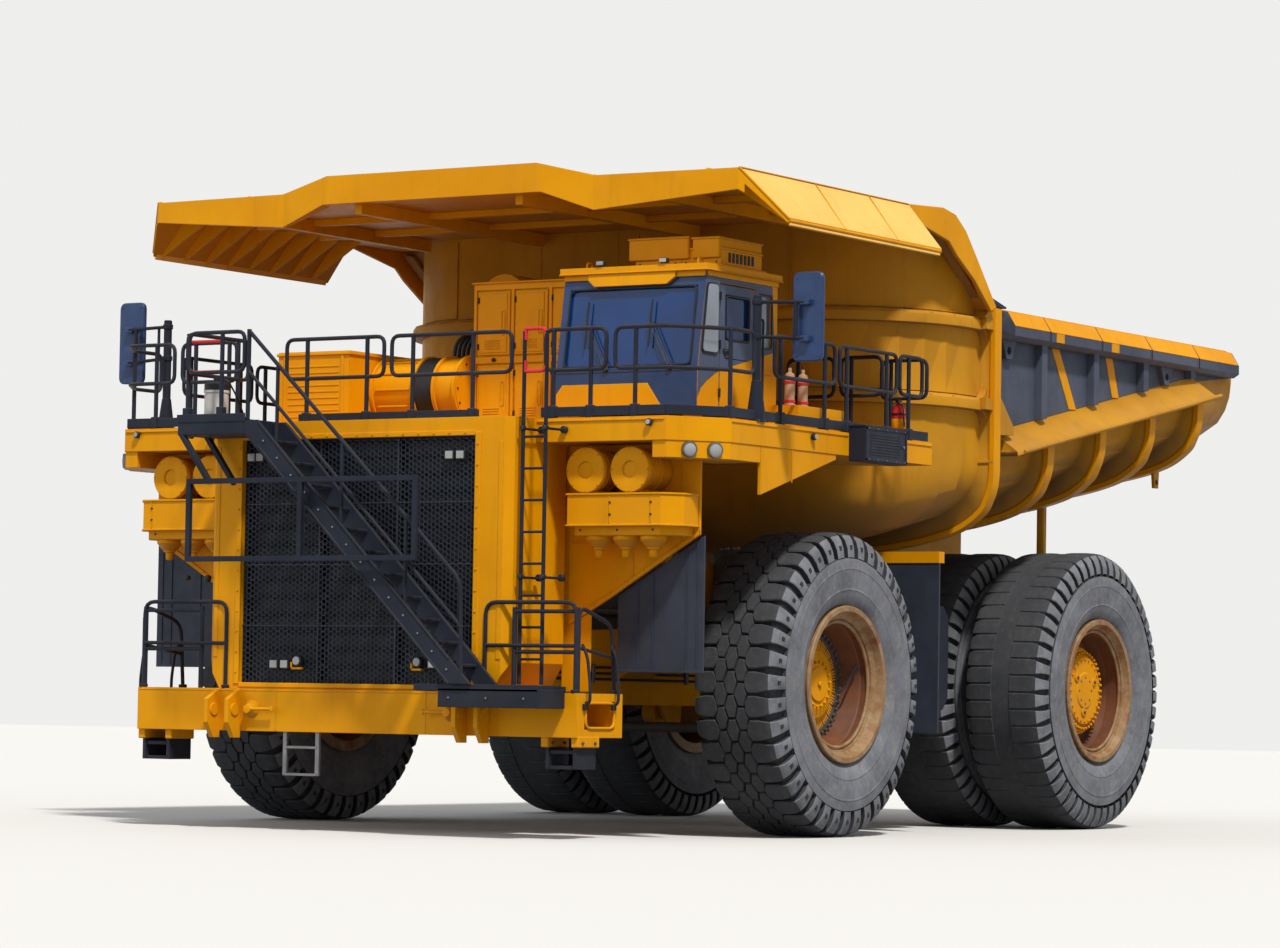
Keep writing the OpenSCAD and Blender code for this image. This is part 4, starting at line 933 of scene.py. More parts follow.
def make_bumper_trim():
    shape = Shape()
    face, (low, high) = BUMPER_Y, BUMPER_Z
    for side in (-1, 1):
        # Weld seams and end flanges
        for x, half, proud in ((2.037, 0.012, 0.006), (1.05, 0.01, 0.005)):
            shape.block(about(side * x, half), (face - proud, face + 0.004), (low + 0.01, high - 0.01),
                        0.003)
        # Boss with its tow pin
        shape.lathe(at(side * 1.4, face, 1.385), FORWARD,
                    [(0.105, 0), (0.1, 0.02), (0.062, 0.055), (0.05, 0.1), (0, 0.105)], 24)
        shape.studs(side * 1.37, face - 0.075, 1.385, (-side * 0.31, 0, 0.002), 0.019, 12, 0, 0.006)
        shape.studs(side * 1.06, face - 0.075, 1.355, (0, 0, 0.064), 0.016, 12, 0, 0.005)
        # Round the open end of the tube
        shape.frame(side * (BUMPER_HALF + 0.002), (-3.985, -3.405), (1.235, 1.515), 0.1, 0.018)
        # Brackets over the hanging steps
        for x in (2.62, 3.02):
            shape.block((side * (x - 0.03), side * (x + 0.07)), (-4.13, -3.7), (1.02, 1.145), 0.01)
            shape.studs(side * (x + 0.07), (-4.05, -3.8), 1.07, (side * 0.02, 0, 0), 0.018, 6, 1)
        # Rear pads of the tow plates
        shape.studs([side * x - 0.045 for x in (1.59, 1.89)], face - 0.12, 1.375, (0.09, 0, 0), 0.075, 24,
                    0, 0.006)
    shape.block((-3.06, 1.28), (face - 0.004, face + 0.004), (high - 0.03, high - 0.018), 0.002)
    shape.piece("bumper_trim", "chassis", "chrome_yellow_paint", ["yellow", "iron"])
    # Folding ladder under the bumper
    steps = Shape()
    for x in (-0.96, -0.5):
        steps.block(about(x, 0.028), (-4.1, -4.055), (0.63, 1.2), 0.006)
        steps.studs(x - 0.04, -4.078, 1.145, (0.08, 0, 0), 0.026, 12, 0, 0.006)
    for z in (0.645, 0.955):
        steps.block((-0.96, -0.5), (-4.11, -4.045), about(z, 0.016), 0.005)
    steps.piece("folding_ladder", "chassis", "engine_steel", "steel")


STAIR_HEAD, STAIR_FOOT = (-0.948, 4.68), (2.062, 1.7)
STAIR_DEEP = 0.296
STAIR_Y = (-4.76, -4.2)


def stair_edge(x):
    """Height of the stringers' upper edge."""
    (x0, z0), (x1, z1) = STAIR_HEAD, STAIR_FOOT
    return z0 + (x - x0) * (z1 - z0) / (x1 - x0)


def make_stairs():
    """Stringers, treads, platform, rails and the braces of the number frame."""
    shape = Shape()
    front, back = STAIR_Y
    outline = [(-1.13, 4.52), (-1.13, 4.68), STAIR_HEAD, STAIR_FOOT,
               (STAIR_FOOT[0] - STAIR_DEEP, STAIR_FOOT[1])]
    for y0, face, out in ((front, front, -1), (back - 0.04, back, 1)):
        shape.plate("y", outline, y0, y0 + 0.04, 0, 0.004)
        for dz in (-0.012, 0.012 - STAIR_DEEP):
            shape.pipe([(x, face, stair_edge(x) + dz) for x in (-0.93, 1.77)], 0.013, 0, 6)
        for x in row(-0.85, 0.2, 14):
            shape.studs(x, face, stair_edge(x) - STAIR_DEEP / 2, (0, out * 0.012, 0), 0.014, 6, 1)
    for x in row(-0.88, 0.255, 11):
        z = stair_edge(x) - STAIR_DEEP * 0.62
        shape.block(about(x, 0.12), (front + 0.03, back - 0.03), about(z, 0.018), 0.005)
        for x0 in row(x - 0.105, 0.055, 4):
            shape.block((x0, x0 + 0.015), (front + 0.05, back - 0.05), (z + 0.017, z + 0.026), 0.002)
    # Platform at the head
    shape.block((-2.1, -1.13), (front, HOUSING_Y - 0.005), (4.52, 4.695), 0.008)
    for y in row(front + 0.04, 0.054, 11):
        shape.block((-2.06, -1.17), (y, y + 0.016), (4.693, 4.7), 0.002)
    shape.block((-2.11, -1.12), (front - 0.008, front + 0.004), (4.665, 4.76), 0.004)
    # Rails over the outer stringer
    y = front + 0.02
    top, low = at(-1.1, y, 5.7), at(1.9, y, 2.84)
    shape.tube([top, low, at(1.93, y, 1.7)], RAIL_R, 0.14)
    shape.pipe([(-1.1, y, 5.24), (1.93, y, 2.32)], 0.021)
    shape.studs(-1.1, y, 4.69, (0, 0, 1.03), 0.026, 10, cap=0)
    for share in (0.14, 0.45, 0.75):
        head = top.lerp(low, share)
        shape.rod(Vector((head.x, head.y, stair_edge(head.x) - 0.15)), head, 0.022, 10)
    # Braces from the platform down to the number frame
    for y in (front + 0.03, front + 0.5):
        shape.pipe([(-2.06, y, 4.54), (-1.64, y, 3.98)], 0.04, 0, 4)
    # Walkway: deep edge before the bumper and checker strips
    shape.block((1.6, 2.93), (-4.715, BUMPER_Y - 0.012), (1.445, 1.655), 0.006)
    shape.block((1.27, 2.93), (-4.715, -4.7), (1.625, 1.7), 0.004)
    for y in row(-4.66, 0.055, 9):
        shape.block((1.33, 2.88), (y, y + 0.018), (1.689, 1.697), 0.002)
    shape.studs((1.75, 2.25, 2.75), -4.715, 1.55, (0, -0.012, 0), 0.014, 6, 1)
    # Handrails on the bumper's corners
    for side in (-1, 1):
        inner, outer, end = side * 1.82, side * 3.03, side * 3.05
        shape.pipe([(inner, -4.12, 1.64), (inner, -4.12, 2.62), (outer, -4.12, 2.62),
                    (outer, -4.12, 1.64)], 0.024, 0.14)
        shape.pipe([(inner, -4.12, 2.14), (outer, -4.12, 2.14)], 0.022)
        shape.pipe([(end, -4.1, 1.64), (end, -4.1, 2.58), (end, -3.42, 2.38), (end, -3.36, 1.64)], 0.024,
                   0.16)
        shape.pipe([(end, -4.1, 2.12), (end, -3.4, 2.02)], 0.02)
        for x, y in ((inner, -4.12), (outer, -4.12), (end, -3.36)):
            shape.studs(x, y, 1.622, (0, 0, 0.038), 0.05, 16, 0, 0.006)
        # Bent grab bars down to the bumper's end
        for y in (-4.02, -3.44):
            bar = ((3.05, 2.16), (3.12, 2.02), (3.16, 1.72), (3.16, 1.52), (3.085, 1.47))
            shape.pipe([(side * x, y, z) for x, z in bar], 0.018, 0.07)
            shape.block(about(side * 3.1, 0.018), about(y, 0.035), (1.435, 1.505), 0.006)
    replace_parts(shape.piece("stairs_and_rails", "chassis", "blue_black_paint", ["ink", "steel"]), "stairs")


def make_fender_trim():
    """Seams, flanges and lamps on the deck's edge and on the panels below it; both sides."""
    seams, lamps, folds = Shape(), Shape(), Shape()
    for side in (1, -1):
        # Plates between the panel and the housing's side, then the flange along the slanting lower edge
        line = [(2.035, 1.64), (2.42, 1.64), (2.42, 2.55), (2.16, 2.41), (2.16, 4.42), (2.035, 4.42)]
        seams.plate("y", line, -2.892, -2.872, side=side)
        line = [(2.13, 2.395), (2.69, 2.705), (3.85, 3.405), (3.85, 3.46), (2.69, 2.76), (2.13, 2.45)]
        seams.plate("y", line, -2.915, -2.885, side=side)
        for x, z0 in ((2.98, 2.93), (3.62, 3.3)):
            strip_xz(seams, (side * x, z0), (side * x, 4.22), 0.01, -2.908, -2.895)
        strip_xz(seams, (side * 2.15, 3.33), (side * 2.98, 3.33), 0.008, -2.907, -2.895)
        for x in row(2.25, 0.22, 7):
            seams.studs(side * x, -2.9, 2.5 + (x - 2.25) * 0.585, (0, -0.022, 0), 0.014)
        # Seams under the top plate and on the side panel
        for x, y, z in (((4.276, 4.292), (-2.95, -0.34), (4.655, 4.675)),
                        ((4.276, 4.292), (0.7, 1.68), (4.655, 4.675)),
                        ((2.12, 3.8), (-3.614, -3.596), (4.655, 4.675)),
                        ((4.268, 4.28), (-1.62, -1.6), (4.05, 4.43))):
            seams.block((side * x[0], side * x[1]), y, z, 0.003)
        # Headlamp bezels on the chamfer
        a, b = Vector((3.82, -3.58)), Vector((4.27, -2.95))
        out = Vector((b.y - a.y, -(b.x - a.x))).normalized()
        for share in (0.35, 0.75):
            spot = a.lerp(b, share)
            foot, axis = at(side * spot.x, spot.y, 4.335), (side * out.x, out.y, 0)
            lamps.lathe(foot, axis, [(0.092, -0.004), (0.092, 0.036), (0.084, 0.05), (0.072, 0.05),
                                     (0.07, 0.042)], 32)
            lamps.lathe(foot, axis, [(0.07, 0.044), (0.05, 0.053), (0.025, 0.058), (0, 0.06)], 32, 1)
        # Small black lamps on the deck's edge
        for x, y, z, nx, ny in ((3.62, -3.6, 4.628, 0, -1), (4.285, -1.18, 4.6, 1, 0),
                                (4.285, 0.86, 4.6, 1, 0)):
            foot, axis = at(side * x, y, z), Vector((side * nx, ny, 0))
            lamps.rod(foot, foot + axis * 0.055, 0.042, 20, 2, 0.012)
            lamps.rod(foot + axis * 0.052, foot + axis * 0.06, 0.028, 20, 1, 0.003)
        for x, top in ((3.02, 2.86), (3.22, 2.98), (3.66, 3.24), (3.8, 3.33)):
            folds.block(about(side * x, 0.007), (-2.852, -2.838), (1.88, top), 0.003)
        folds.block((side * 2.76, side * 3.87), (-2.853, -2.838), (1.87, 1.895), 0.003)
    folds.piece("flap_folds", "chassis", "blue_black_paint", "flap")
    seams.piece("fender_seams", "chassis", "chrome_yellow_paint", "yellow")
    lamps.piece("headlamp_bezels", "chassis", "lamp_lens", ["steel", "lens", "black"])


def make_air_cleaners():
    """Canisters with their lids, the box below them and its dust cups."""
    shape = Shape()
    cap_line = [(0, -0.505), (0.236, -0.505), (0.24, -0.055), (0.262, -0.05), (0.262, -0.006), (0.252, 0.01),
                (0.112, 0.014), (0.098, 0.01), (0.09, -0.008), (0, -0.012)]
    cup_line = [(0, -0.01), (0.148, -0.01), (0.152, 0.012), (0.152, 0.045), (0.092, 0.118), (0.074, 0.132),
                (0.07, 0.15), (0.046, 0.156), (0.044, 0.228), (0.032, 0.246), (0, 0.248)]
    for x in (2.66, 3.25):
        cap = at(x, -3.42, 4.12)
        shape.lathe(cap, FORWARD, cap_line, 64)
        for back in (0.15, 0.33):
            shape.collar(cap + Vector((0, back, 0)), FORWARD, 0.236, 0.25, 0.038, steps=64)
        shape.ring_of_bolts(cap + Vector((0, -0.008, 0)), FORWARD, 0.236, 8, 0.009, 0.01)
        shape.block(about(x, 0.1), (-3.36, -2.96), (3.84, 3.92), 0.02)
    # Box with its cut corner, stepped in below
    for grow, z0, z1, cut in ((0, 3.5, 3.85, 0.01), (0.014, 3.838, 3.862, 0.004),
                              (0.014, 3.49, 3.512, 0.004), (-0.065, 3.385, 3.5, 0.008)):
        plan = [(2.42 - grow, -3.42 - grow), (3.655 + grow * 0.5, -3.42 - grow),
                (3.835 + grow, -3.2 - grow * 0.5), (3.835 + grow, -2.905), (2.42 - grow, -2.905)]
        shape.plate("z", plan, z0, z1, 0, cut)
    shape.studs((2.99, 3.53), -3.42, (3.62, 3.755), (0, -0.012, 0), 0.014, 10, 1, 0.002)
    for x in (2.99, 3.53):
        shape.block((x - 0.01, x + 0.002), (-3.428, -3.415), (3.52, 3.835), 0.002)
    shape.studs((2.56, 3.05, 3.52), -3.355, 3.45, (0, -0.011, 0), 0.012, 10, 1, 0.002)
    for x in (2.71, 3.07, 3.43):
        shape.lathe(at(x, -3.19, 3.39), (0, 0, -1), cup_line, 40)
    piece = shape.join(shape.mirrored()).piece("air_cleaner_sets", "chassis", "chrome_yellow_paint",
                                               ["yellow", "black"])
    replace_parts(piece, "air_cleaners")


# Cab

CAB_X = (1.74, 3.65)
CAB_Y = -2.67
SILL_Z = 5.27
LEAN = 0.17 / 1.15
CAB_SIDE = CAB_X[1]
PANEL_TOP, ROOF_LOW = 6.255, 6.42


def cab_face(z):
    """Place of the cab's front at height z; it leans back over the sill."""
    return CAB_Y + max(0, z - SILL_Z) * LEAN


def face_panel(shape, outline, proud, slot):
    """Plate on the cab's front, from (x, z) corners, standing out by proud."""
    outline = outline if signed_area(outline) > 0 else outline[::-1]
    n = len(outline)
    points = [at(x, cab_face(z) - out, z) for out in (proud, -0.001) for x, z in outline]
    faces = [[(i + 1) % n, i, n + i, n + (i + 1) % n] for i in range(n)]
    shape.add(points, [list(range(n))] + faces, slot)


def side_plate(shape, outline, slot=0, low=-0.001, high=0.005):
    shape.plate("x", outline, CAB_SIDE + low, CAB_SIDE + high, slot)


def make_cab_panels():
    """Two-tone panels of the cab, on its front and outer side."""
    shape = Shape()
    left, right = CAB_X[0] + 0.004, CAB_X[1] - 0.004
    # Front: dark surround of the windscreen, then visor edge, lower panel and the band under the roof
    for x0, x1, z0, z1, proud, slot in ((left, right, 4.815, SILL_Z, 0.005, 1),
                                        (left, right, SILL_Z, 5.335, 0.005, 1),
                                        (left, 1.835, 5.335, PANEL_TOP, 0.005, 1),
                                        (3.555, right, 5.335, PANEL_TOP, 0.005, 1),
                                        (left, right, PANEL_TOP, ROOF_LOW, 0.005, 1),
                                        (left, right, 6.355, ROOF_LOW, 0.03, 2)):
        face_panel(shape, [(x0, z0), (x1, z0), (x1, z1), (x0, z1)], proud, slot)
    face_panel(shape, [(2.186, 6.275), (3.159, 6.275), (3.264, 6.355), (3.264, 6.42), (2.09, 6.42),
                       (2.09, 6.355)], 0.058, 2)
    face_panel(shape, [(left + 0.01, 4.82), (3.22, 4.82), (2.99, 5.145), (1.84, 5.145),
                       (left + 0.01, 5.04)], 0.013, 2)
    side_plate(shape, [(-2.49, 6.36), (-0.93, 6.36), (-0.93, 6.42), (-2.5, 6.42)], 2, high=0.014)
    # Sharp-edged sill under the windscreen
    shape.plate("y", [(left, 5.275), (left, 5.33), (right, 5.33), (right, 5.275)], CAB_Y - 0.012,
                CAB_Y + 0.03, 1, 0.006)
    # Side: blue-grey upper part round the windows
    for outline in ([(-2.666, 4.98), (-2.6, 5.087), (-2.475, 5.175), (-2.475, 6.415), (-2.505, 6.415),
                     (-2.666, 5.27)],
                    [(-2.475, 5.175), (-2.285, 5.275), (-2.285, 5.48), (-2.475, 5.48)],
                    [(-2.475, 6.255), (-2.285, 6.255), (-2.285, 6.415), (-2.475, 6.415)],
                    [(-2.285, 5.275), (-2.215, 5.3), (-2.215, 6.415), (-2.285, 6.415)],
                    [(-2.215, 6.305), (-1.425, 6.305), (-1.425, 6.415), (-2.215, 6.415)],
                    [(-1.425, 5.495), (-1.355, 5.512), (-1.355, 6.415), (-1.425, 6.415)],
                    [(-1.355, 6.255), (-1.045, 6.255), (-1.06, 6.415), (-1.355, 6.415)],
                    [(-1.355, 5.512), (-1.045, 5.585), (-1.045, 5.62), (-1.355, 5.62)],
                    [(-1.045, 5.585), (-0.985, 5.6), (-1.045, 6.255)]):
        side_plate(shape, outline)
    side_plate(shape, [(-1.355, 5.325), (-1.045, 5.325), (-1.045, 5.585), (-1.355, 5.512)], 2)
    # Wide pale pane between the corner and the door
    for grow, slot, out in ((0.02, 3, 0.02), (0, 4, 0.026)):
        pane = [(-2.595 - grow, 5.5 - grow), (-2.275 + grow, 5.5 - grow), (-2.275 + grow, 6.27 + grow),
                (-2.486 - grow, 6.27 + grow)]
        side_plate(shape, rounded_plan(pane, 0.055 + grow), slot, 0.002, out)
    # Hinges of the door and a grab rail
    shape.studs(CAB_SIDE + 0.016, -2.218, [z - 0.05 for z in (5.05, 5.6, 6.15)], (0, 0, 0.1), 0.015, 12,
                3, 0.004)
    grip = CAB_SIDE + 0.07
    shape.pipe([(CAB_SIDE, -1.36, 5.02), (grip, -1.36, 5.02), (grip, -1.36, 5.95),
                (CAB_SIDE, -1.36, 5.95)], 0.015, 0.05, 8, 3)
    shape.piece("cab_panels", "chassis", "chrome_yellow_paint",
                ["cab_blue", "deep_blue", "yellow", "black", "pane"])
    door = Shape()
    side_plate(door, [(-2.196, 4.894), (-1.444, 4.894), (-1.444, 5.49), (-1.6, 5.45), (-1.782, 5.403),
                      (-2, 5.355), (-2.196, 5.305)], 1)
    side_plate(door, [(-2.086, 5.455), (-1.554, 5.455), (-1.554, 5.66), (-2.086, 5.66)])
    door.frame(CAB_SIDE + 0.004, (-2.075, -1.565), (5.67, 6.165), 0.05, 0.014, 8, 2)
    door.block((CAB_SIDE, CAB_SIDE + 0.022), (-2.13, -1.97), (5.5, 5.56), 0.008, 2)
    handle = ((0.01, -2.12), (0.04, -2.1), (0.04, -2), (0.01, -1.98))
    door.pipe([(CAB_SIDE + x, y, 5.53) for x, y in handle], 0.01, 0.015, 8, 2)
    door.block((CAB_SIDE - 0.038, CAB_SIDE - 0.026), (-2.08, -1.56), (5.66, 6.17), 0, 3)
    door.piece("door_trim", "door", "blue_grey_paint", ["cab_blue", "yellow", "black", "glass"])


def make_cab_trim():
    """Window seals, wipers, lifting eyes, roof gutter and marker lamps."""
    shape = Shape()
    for y, z0 in (((-2.462, -2.298), 5.488), ((-1.343, -1.057), 5.628)):
        shape.frame(CAB_SIDE + 0.004, y, (z0, 6.245), 0.06, 0.011)
    corners = ((1.842, 5.345), (3.548, 5.345), (3.548, 6.248), (1.842, 6.248))
    shape.tube(rounded_loop([(x, cab_face(z) - 0.008, z) for x, z in corners], 0.07), 0.012, closed=True)
    # Wipers on the windscreen, each with its motor cap, twin arms and blade
    tip_z = 5.86
    for x, tip_x in ((2.42, 2.1), (3.28, 2.96)):
        shape.studs(x, CAB_Y + 0.02, 5.305, (0, -0.055, 0), 0.03, 16, 0, 0.008)
        for dx in (0, 0.045):
            shape.pipe([(x + dx, cab_face(5.3) - 0.03, 5.305),
                        (tip_x + dx, cab_face(tip_z) - 0.045, tip_z)], 0.008, 0, 6)
        shape.pipe([(tip_x + 0.02, cab_face(z) - 0.032, z) for z in (tip_z - 0.3, tip_z + 0.24)], 0.01, 0, 6)
    # Roof: gutter, lifting eyes, marker lamps
    shape.frame((1.69, 3.7), (-2.57, -0.88), 6.425, 0.03, 0.01, 6, 1)
    for x, y in product((1.95, 3.45), (-2.32, -1.05)):
        shape.pipe([(x, y + dy, z) for dy, z in ((-0.05, 6.5), (-0.05, 6.58), (0.05, 6.58), (0.05, 6.5))],
                   0.014, 0.045, 8, 1)
        shape.block(about(x, 0.03), about(y, 0.08), (6.497, 6.512), 0.004, 1)
    for x in (2.25, 3.1):
        shape.block(about(x, 0.055), (-2.575, -2.5), (6.515, 6.575), 0.012)
        shape.block(about(x, 0.045), (-2.582, -2.565), (6.523, 6.567), 0.006, 2)
    shape.studs(2, -1.35, 6.5, (0, 0, 0.045), 0.045, 20, 0, 0.006)
    shape.pipe([(1.9, -1.2, 6.5), (1.9, -1.18, 7.02)], 0.007, 0, 6)
    # Step at the door's foot
    shape.block((CAB_SIDE - 0.01, CAB_SIDE + 0.045), (-2.18, -1.46), (4.83, 4.872), 0.006)
    shape.piece("cab_trim_pieces", "chassis", "cab_trim", ["black", "yellow", "lens"])


def make_roof_unit():
    """Details of the unit on the cab's roof: base flange, lid, raised boxes, seams and side louvres."""
    shape = Shape()
    x0, x1, y0, y1 = 2.44, 3.59, -2.1, -1.2
    z0, z1, mid = 6.503, 6.733, 3.05
    shape.block((x0 - 0.05, x1 + 0.05), (y0 - 0.05, y1 + 0.04), (z0, z0 + 0.022), 0.005)
    shape.block((x0 - 0.012, x1 + 0.012), (y0 - 0.012, y1 + 0.012), (z1 - 0.035, z1 - 0.004), 0.006)
    for left, right, top in ((2.36, 3.17, 6.868), (3.22, 3.58, 6.85)):
        shape.block((left, right), (y0 - 0.03, y1 + 0.02), (6.6, top), 0.012)
        shape.block((left - 0.012, right + 0.012), (y0 - 0.042, y1 + 0.032), (top - 0.03, top - 0.006),
                    0.006)
    shape.block(about(mid, 0.012), (y0 - 0.008, y1 + 0.008), (z0 + 0.02, z1 + 0.006), 0.003)
    for y in row(y0 + 0.16, 0.085, 7):
        shape.block((x1 - 0.002, x1 + 0.012), (y, y + 0.045), (z0 + 0.06, z1 - 0.06), 0.004, 1)
    shape.studs((x0 + 0.06, mid - 0.07, mid + 0.07, x1 - 0.06), y0, (z0 + 0.06, z1 - 0.06),
                (0, -0.008, 0), 0.011, 8, 1, 0.002)
    for x in (x0 + 0.22, x1 - 0.25):
        shape.block(about(x, 0.05), (y0 - 0.008, y0 + 0.002), (z0 + 0.095, z0 + 0.135), 0.004, 1)
    shape.piece("roof_unit_trim", "chassis", "chrome_yellow_paint", ["yellow", "black"])


def make_cab_seat():
    """Padded seat, arm rests and console behind the glass."""
    shape = Shape()
    for x, y, z, cut, slot in (((2.56, 3.02), (-1.84, -1.36), (5.27, 5.42), 0.05, 0),
                               ((2.57, 3.01), (-1.45, -1.32), (5.4, 5.98), 0.05, 0),
                               ((2.67, 2.91), (-1.44, -1.34), (6, 6.2), 0.04, 0),
                               ((2.465, 2.54), (-1.8, -1.45), (5.5, 5.56), 0.02, 0),
                               ((2.995, 3.07), (-1.8, -1.45), (5.5, 5.56), 0.02, 0),
                               ((2.05, 3.4), (-2.6, -2.32), (5.22, 5.31), 0.03, 1),
                               ((2.15, 2.45), (-2.5, -2.42), (5.3, 5.48), 0.02, 1)):
        shape.block(x, y, z, cut, slot)
    shape.piece("cab_seat", "chassis", "cab_trim", ["seat", "trim"])


# Mirrors

def make_mirrors():
    shape = Shape()
    y = -2.33
    for side in (1, -1):
        post, out = side * 4.22, side * 4.83
        shape.studs(post, y, 4.62, (0, 0, 1.51), 0.05, 16, 2, 0.01)
        shape.lathe(at(post, y, 4.7), UP, [(0, 0), (0.098, 0), (0.104, 0.1), (0.056, 0.46), (0, 0.46)],
                    16, 2)
        shape.block(about(post, 0.085), (-2.42, -2.24), (4.702, 4.722), 0.004)
        # Bent bracket
        for x0, z0, x1, z1, r in ((post, 6.05, out, 6.03, 0.021), (post, 5.66, out, 5.62, 0.021),
                                  (side * 4.36, 6.05, side * 4.36, 5.65, 0.018),
                                  (side * 4.72, 6.03, side * 4.72, 5.63, 0.024)):
            shape.pipe([(x0, y, z0), (x1, y, z1)], r, 0, 8, 2)
        for z in (6.03, 5.62):
            shape.block(about(out, 0.06), (-2.345, -2.27), about(z, 0.035), 0.01)
        for z in (6.05, 5.66):
            shape.collar(at(post, y, z - 0.03), UP, 0.05, 0.062, 0.06, steps=20, slot=2)
        # Rounded shell with the glass on its rear
        for x0, x1, z0, z1, bend, near, far, slot, cut in (
                (4.64, 5.035, 5.365, 6.375, 0.09, -2.275, -2.215, 0, 0.016),
                (4.665, 5.01, 5.39, 6.35, 0.07, -2.216, -2.208, 1, 0)):
            line = rounded_plan([(x0, z0), (x1, z0), (x1, z1), (x0, z1)], bend)
            shape.plate("y", line, near, far, slot, cut, side)
        shape.studs((side * 4.7, side * 4.98), -2.272, (5.43, 6.31), (0, -0.01, 0), 0.012, 8, 0, 0.002)
    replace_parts(shape.piece("mirrors_rounded", "chassis", "blue_black_paint",
                            ["deep_blue", "chrome", "ink"]), "mirrors")


# On the deck

def make_deck_fittings():
    """Loose fittings: safety bars, tank, accumulators, extinguisher and cables."""
    red, mixed = Shape(), Shape()
    # Red bar across the head of the ladder, and at the platform
    red.pipe([(2.2, -4, 5.675), (2.5, -4, 5.675), (2.5, -4, 5.2), (2.2, -4, 5.2)], 0.022, 0.09)
    for z0, z1 in ((5.675, 5.55), (5.2, 5.32)):
        red.pipe([(2.215, -4, z0), (2.215, -4, z1)], 0.022)
    for z in (5.6, 5.25):
        red.pipe([(-1.98, -4.7, z), (-1.52, -4.7, z)], 0.02)
    red.piece("safety_bars", "chassis", "chrome_yellow_paint", "red")
    # Grease tank on the platform
    tank = at(-1.86, -4.35, 4.7)
    mixed.lathe(tank, UP, [(0, 0), (0.15, 0), (0.15, 0.03), (0.14, 0.035), (0.14, 0.33), (0.15, 0.335),
                           (0.15, 0.36), (0.135, 0.365)], 32)
    mixed.lathe(tank, UP, [(0.145, 0.362), (0.145, 0.43), (0.1, 0.46), (0.04, 0.47), (0.04, 0.53),
                           (0, 0.535)], 32, 1)
    hose = ((0.05, 0, 0.5), (0.16, 0, 0.48), (0.2, 0.12, 0.3), (0.2, 0.3, 0.03))
    mixed.tube([tank + Vector(p) for p in hose], 0.012, 0.06, 6, 1)
    # Accumulators on the side box, their own pale paint dulled to beige by painted shade
    for y in (-1.05, -0.75):
        foot = at(3.9, y, 4.96)
        mixed.lathe(foot, UP, [(0.075, 0), (0.075, 0.03), (0.06, 0.035), (0.06, 0.34), (0.05, 0.385),
                               (0.022, 0.4), (0.022, 0.45), (0, 0.455)], 24, 5)
        for z in (5.01, 5.23):
            mixed.collar(at(3.9, y, z), UP, 0.06, 0.068, 0.03, steps=24, slot=2)
        mixed.rod(foot + Vector((0, 0, 0.45)), foot + Vector((0, 0, 0.49)), 0.014, 8, 1)
    mixed.block((3.8, 4), (-1.24, -0.56), (4.955, 4.972), 0.004, 2)
    # Extinguisher at the deck's rear corner
    foot = at(3.98, 1.4, 4.72)
    mixed.lathe(foot, UP, [(0, 0), (0.078, 0), (0.082, 0.01), (0.082, 0.34), (0.066, 0.4), (0.028, 0.425),
                           (0.028, 0.46), (0, 0.462)], 28, 2)
    for z, inner, outer, length, bevel, slot in ((0.14, 0.083, 0.086, 0.115, 0.005, 3),
                                                 (0.08, 0.082, 0.088, 0.025, 0.003, 1),
                                                 (0.3, 0.082, 0.088, 0.025, 0.003, 1)):
        mixed.collar(foot + Vector((0, 0, z)), UP, inner, outer, length, bevel, 28, slot)
    mixed.box(foot + Vector((-0.02, -0.055, 0.455)), foot + Vector((0.02, 0.045, 0.49)), 0.006, 1)
    mixed.tube([foot + Vector(p) for p in ((0, -0.05, 0.46), (0.1, -0.07, 0.4), (0.11, -0.05, 0.16))],
               0.01, 0.05, 6, 1)
    mixed.box(foot + Vector((-0.03, 0.082, -0.015)), foot + Vector((0.03, 0.105, 0.42)), 0.004, 1)
    # Cables from the drum to the cabinet
    for k in range(4):
        y = -1.62 + 0.09 * k
        mixed.pipe([(-0.42, y, 5.58), (-0.4, y, 5.8), (-0.15, y, 5.95 + 0.03 * k), (0.045, y, 5.86)],
                   0.024, 0.14, 8, 1)
        mixed.lathe(at(0.05, y, 5.86), (-1, 0, 0),
                    [(0.045, 0), (0.045, 0.02), (0.03, 0.03), (0.03, 0.06), (0.024, 0.065)], 16, 4)
    mixed.piece("deck_fittings", "chassis", "engine_steel",
                ["white", "black", "red", "yellow", "steel", "bottle"])


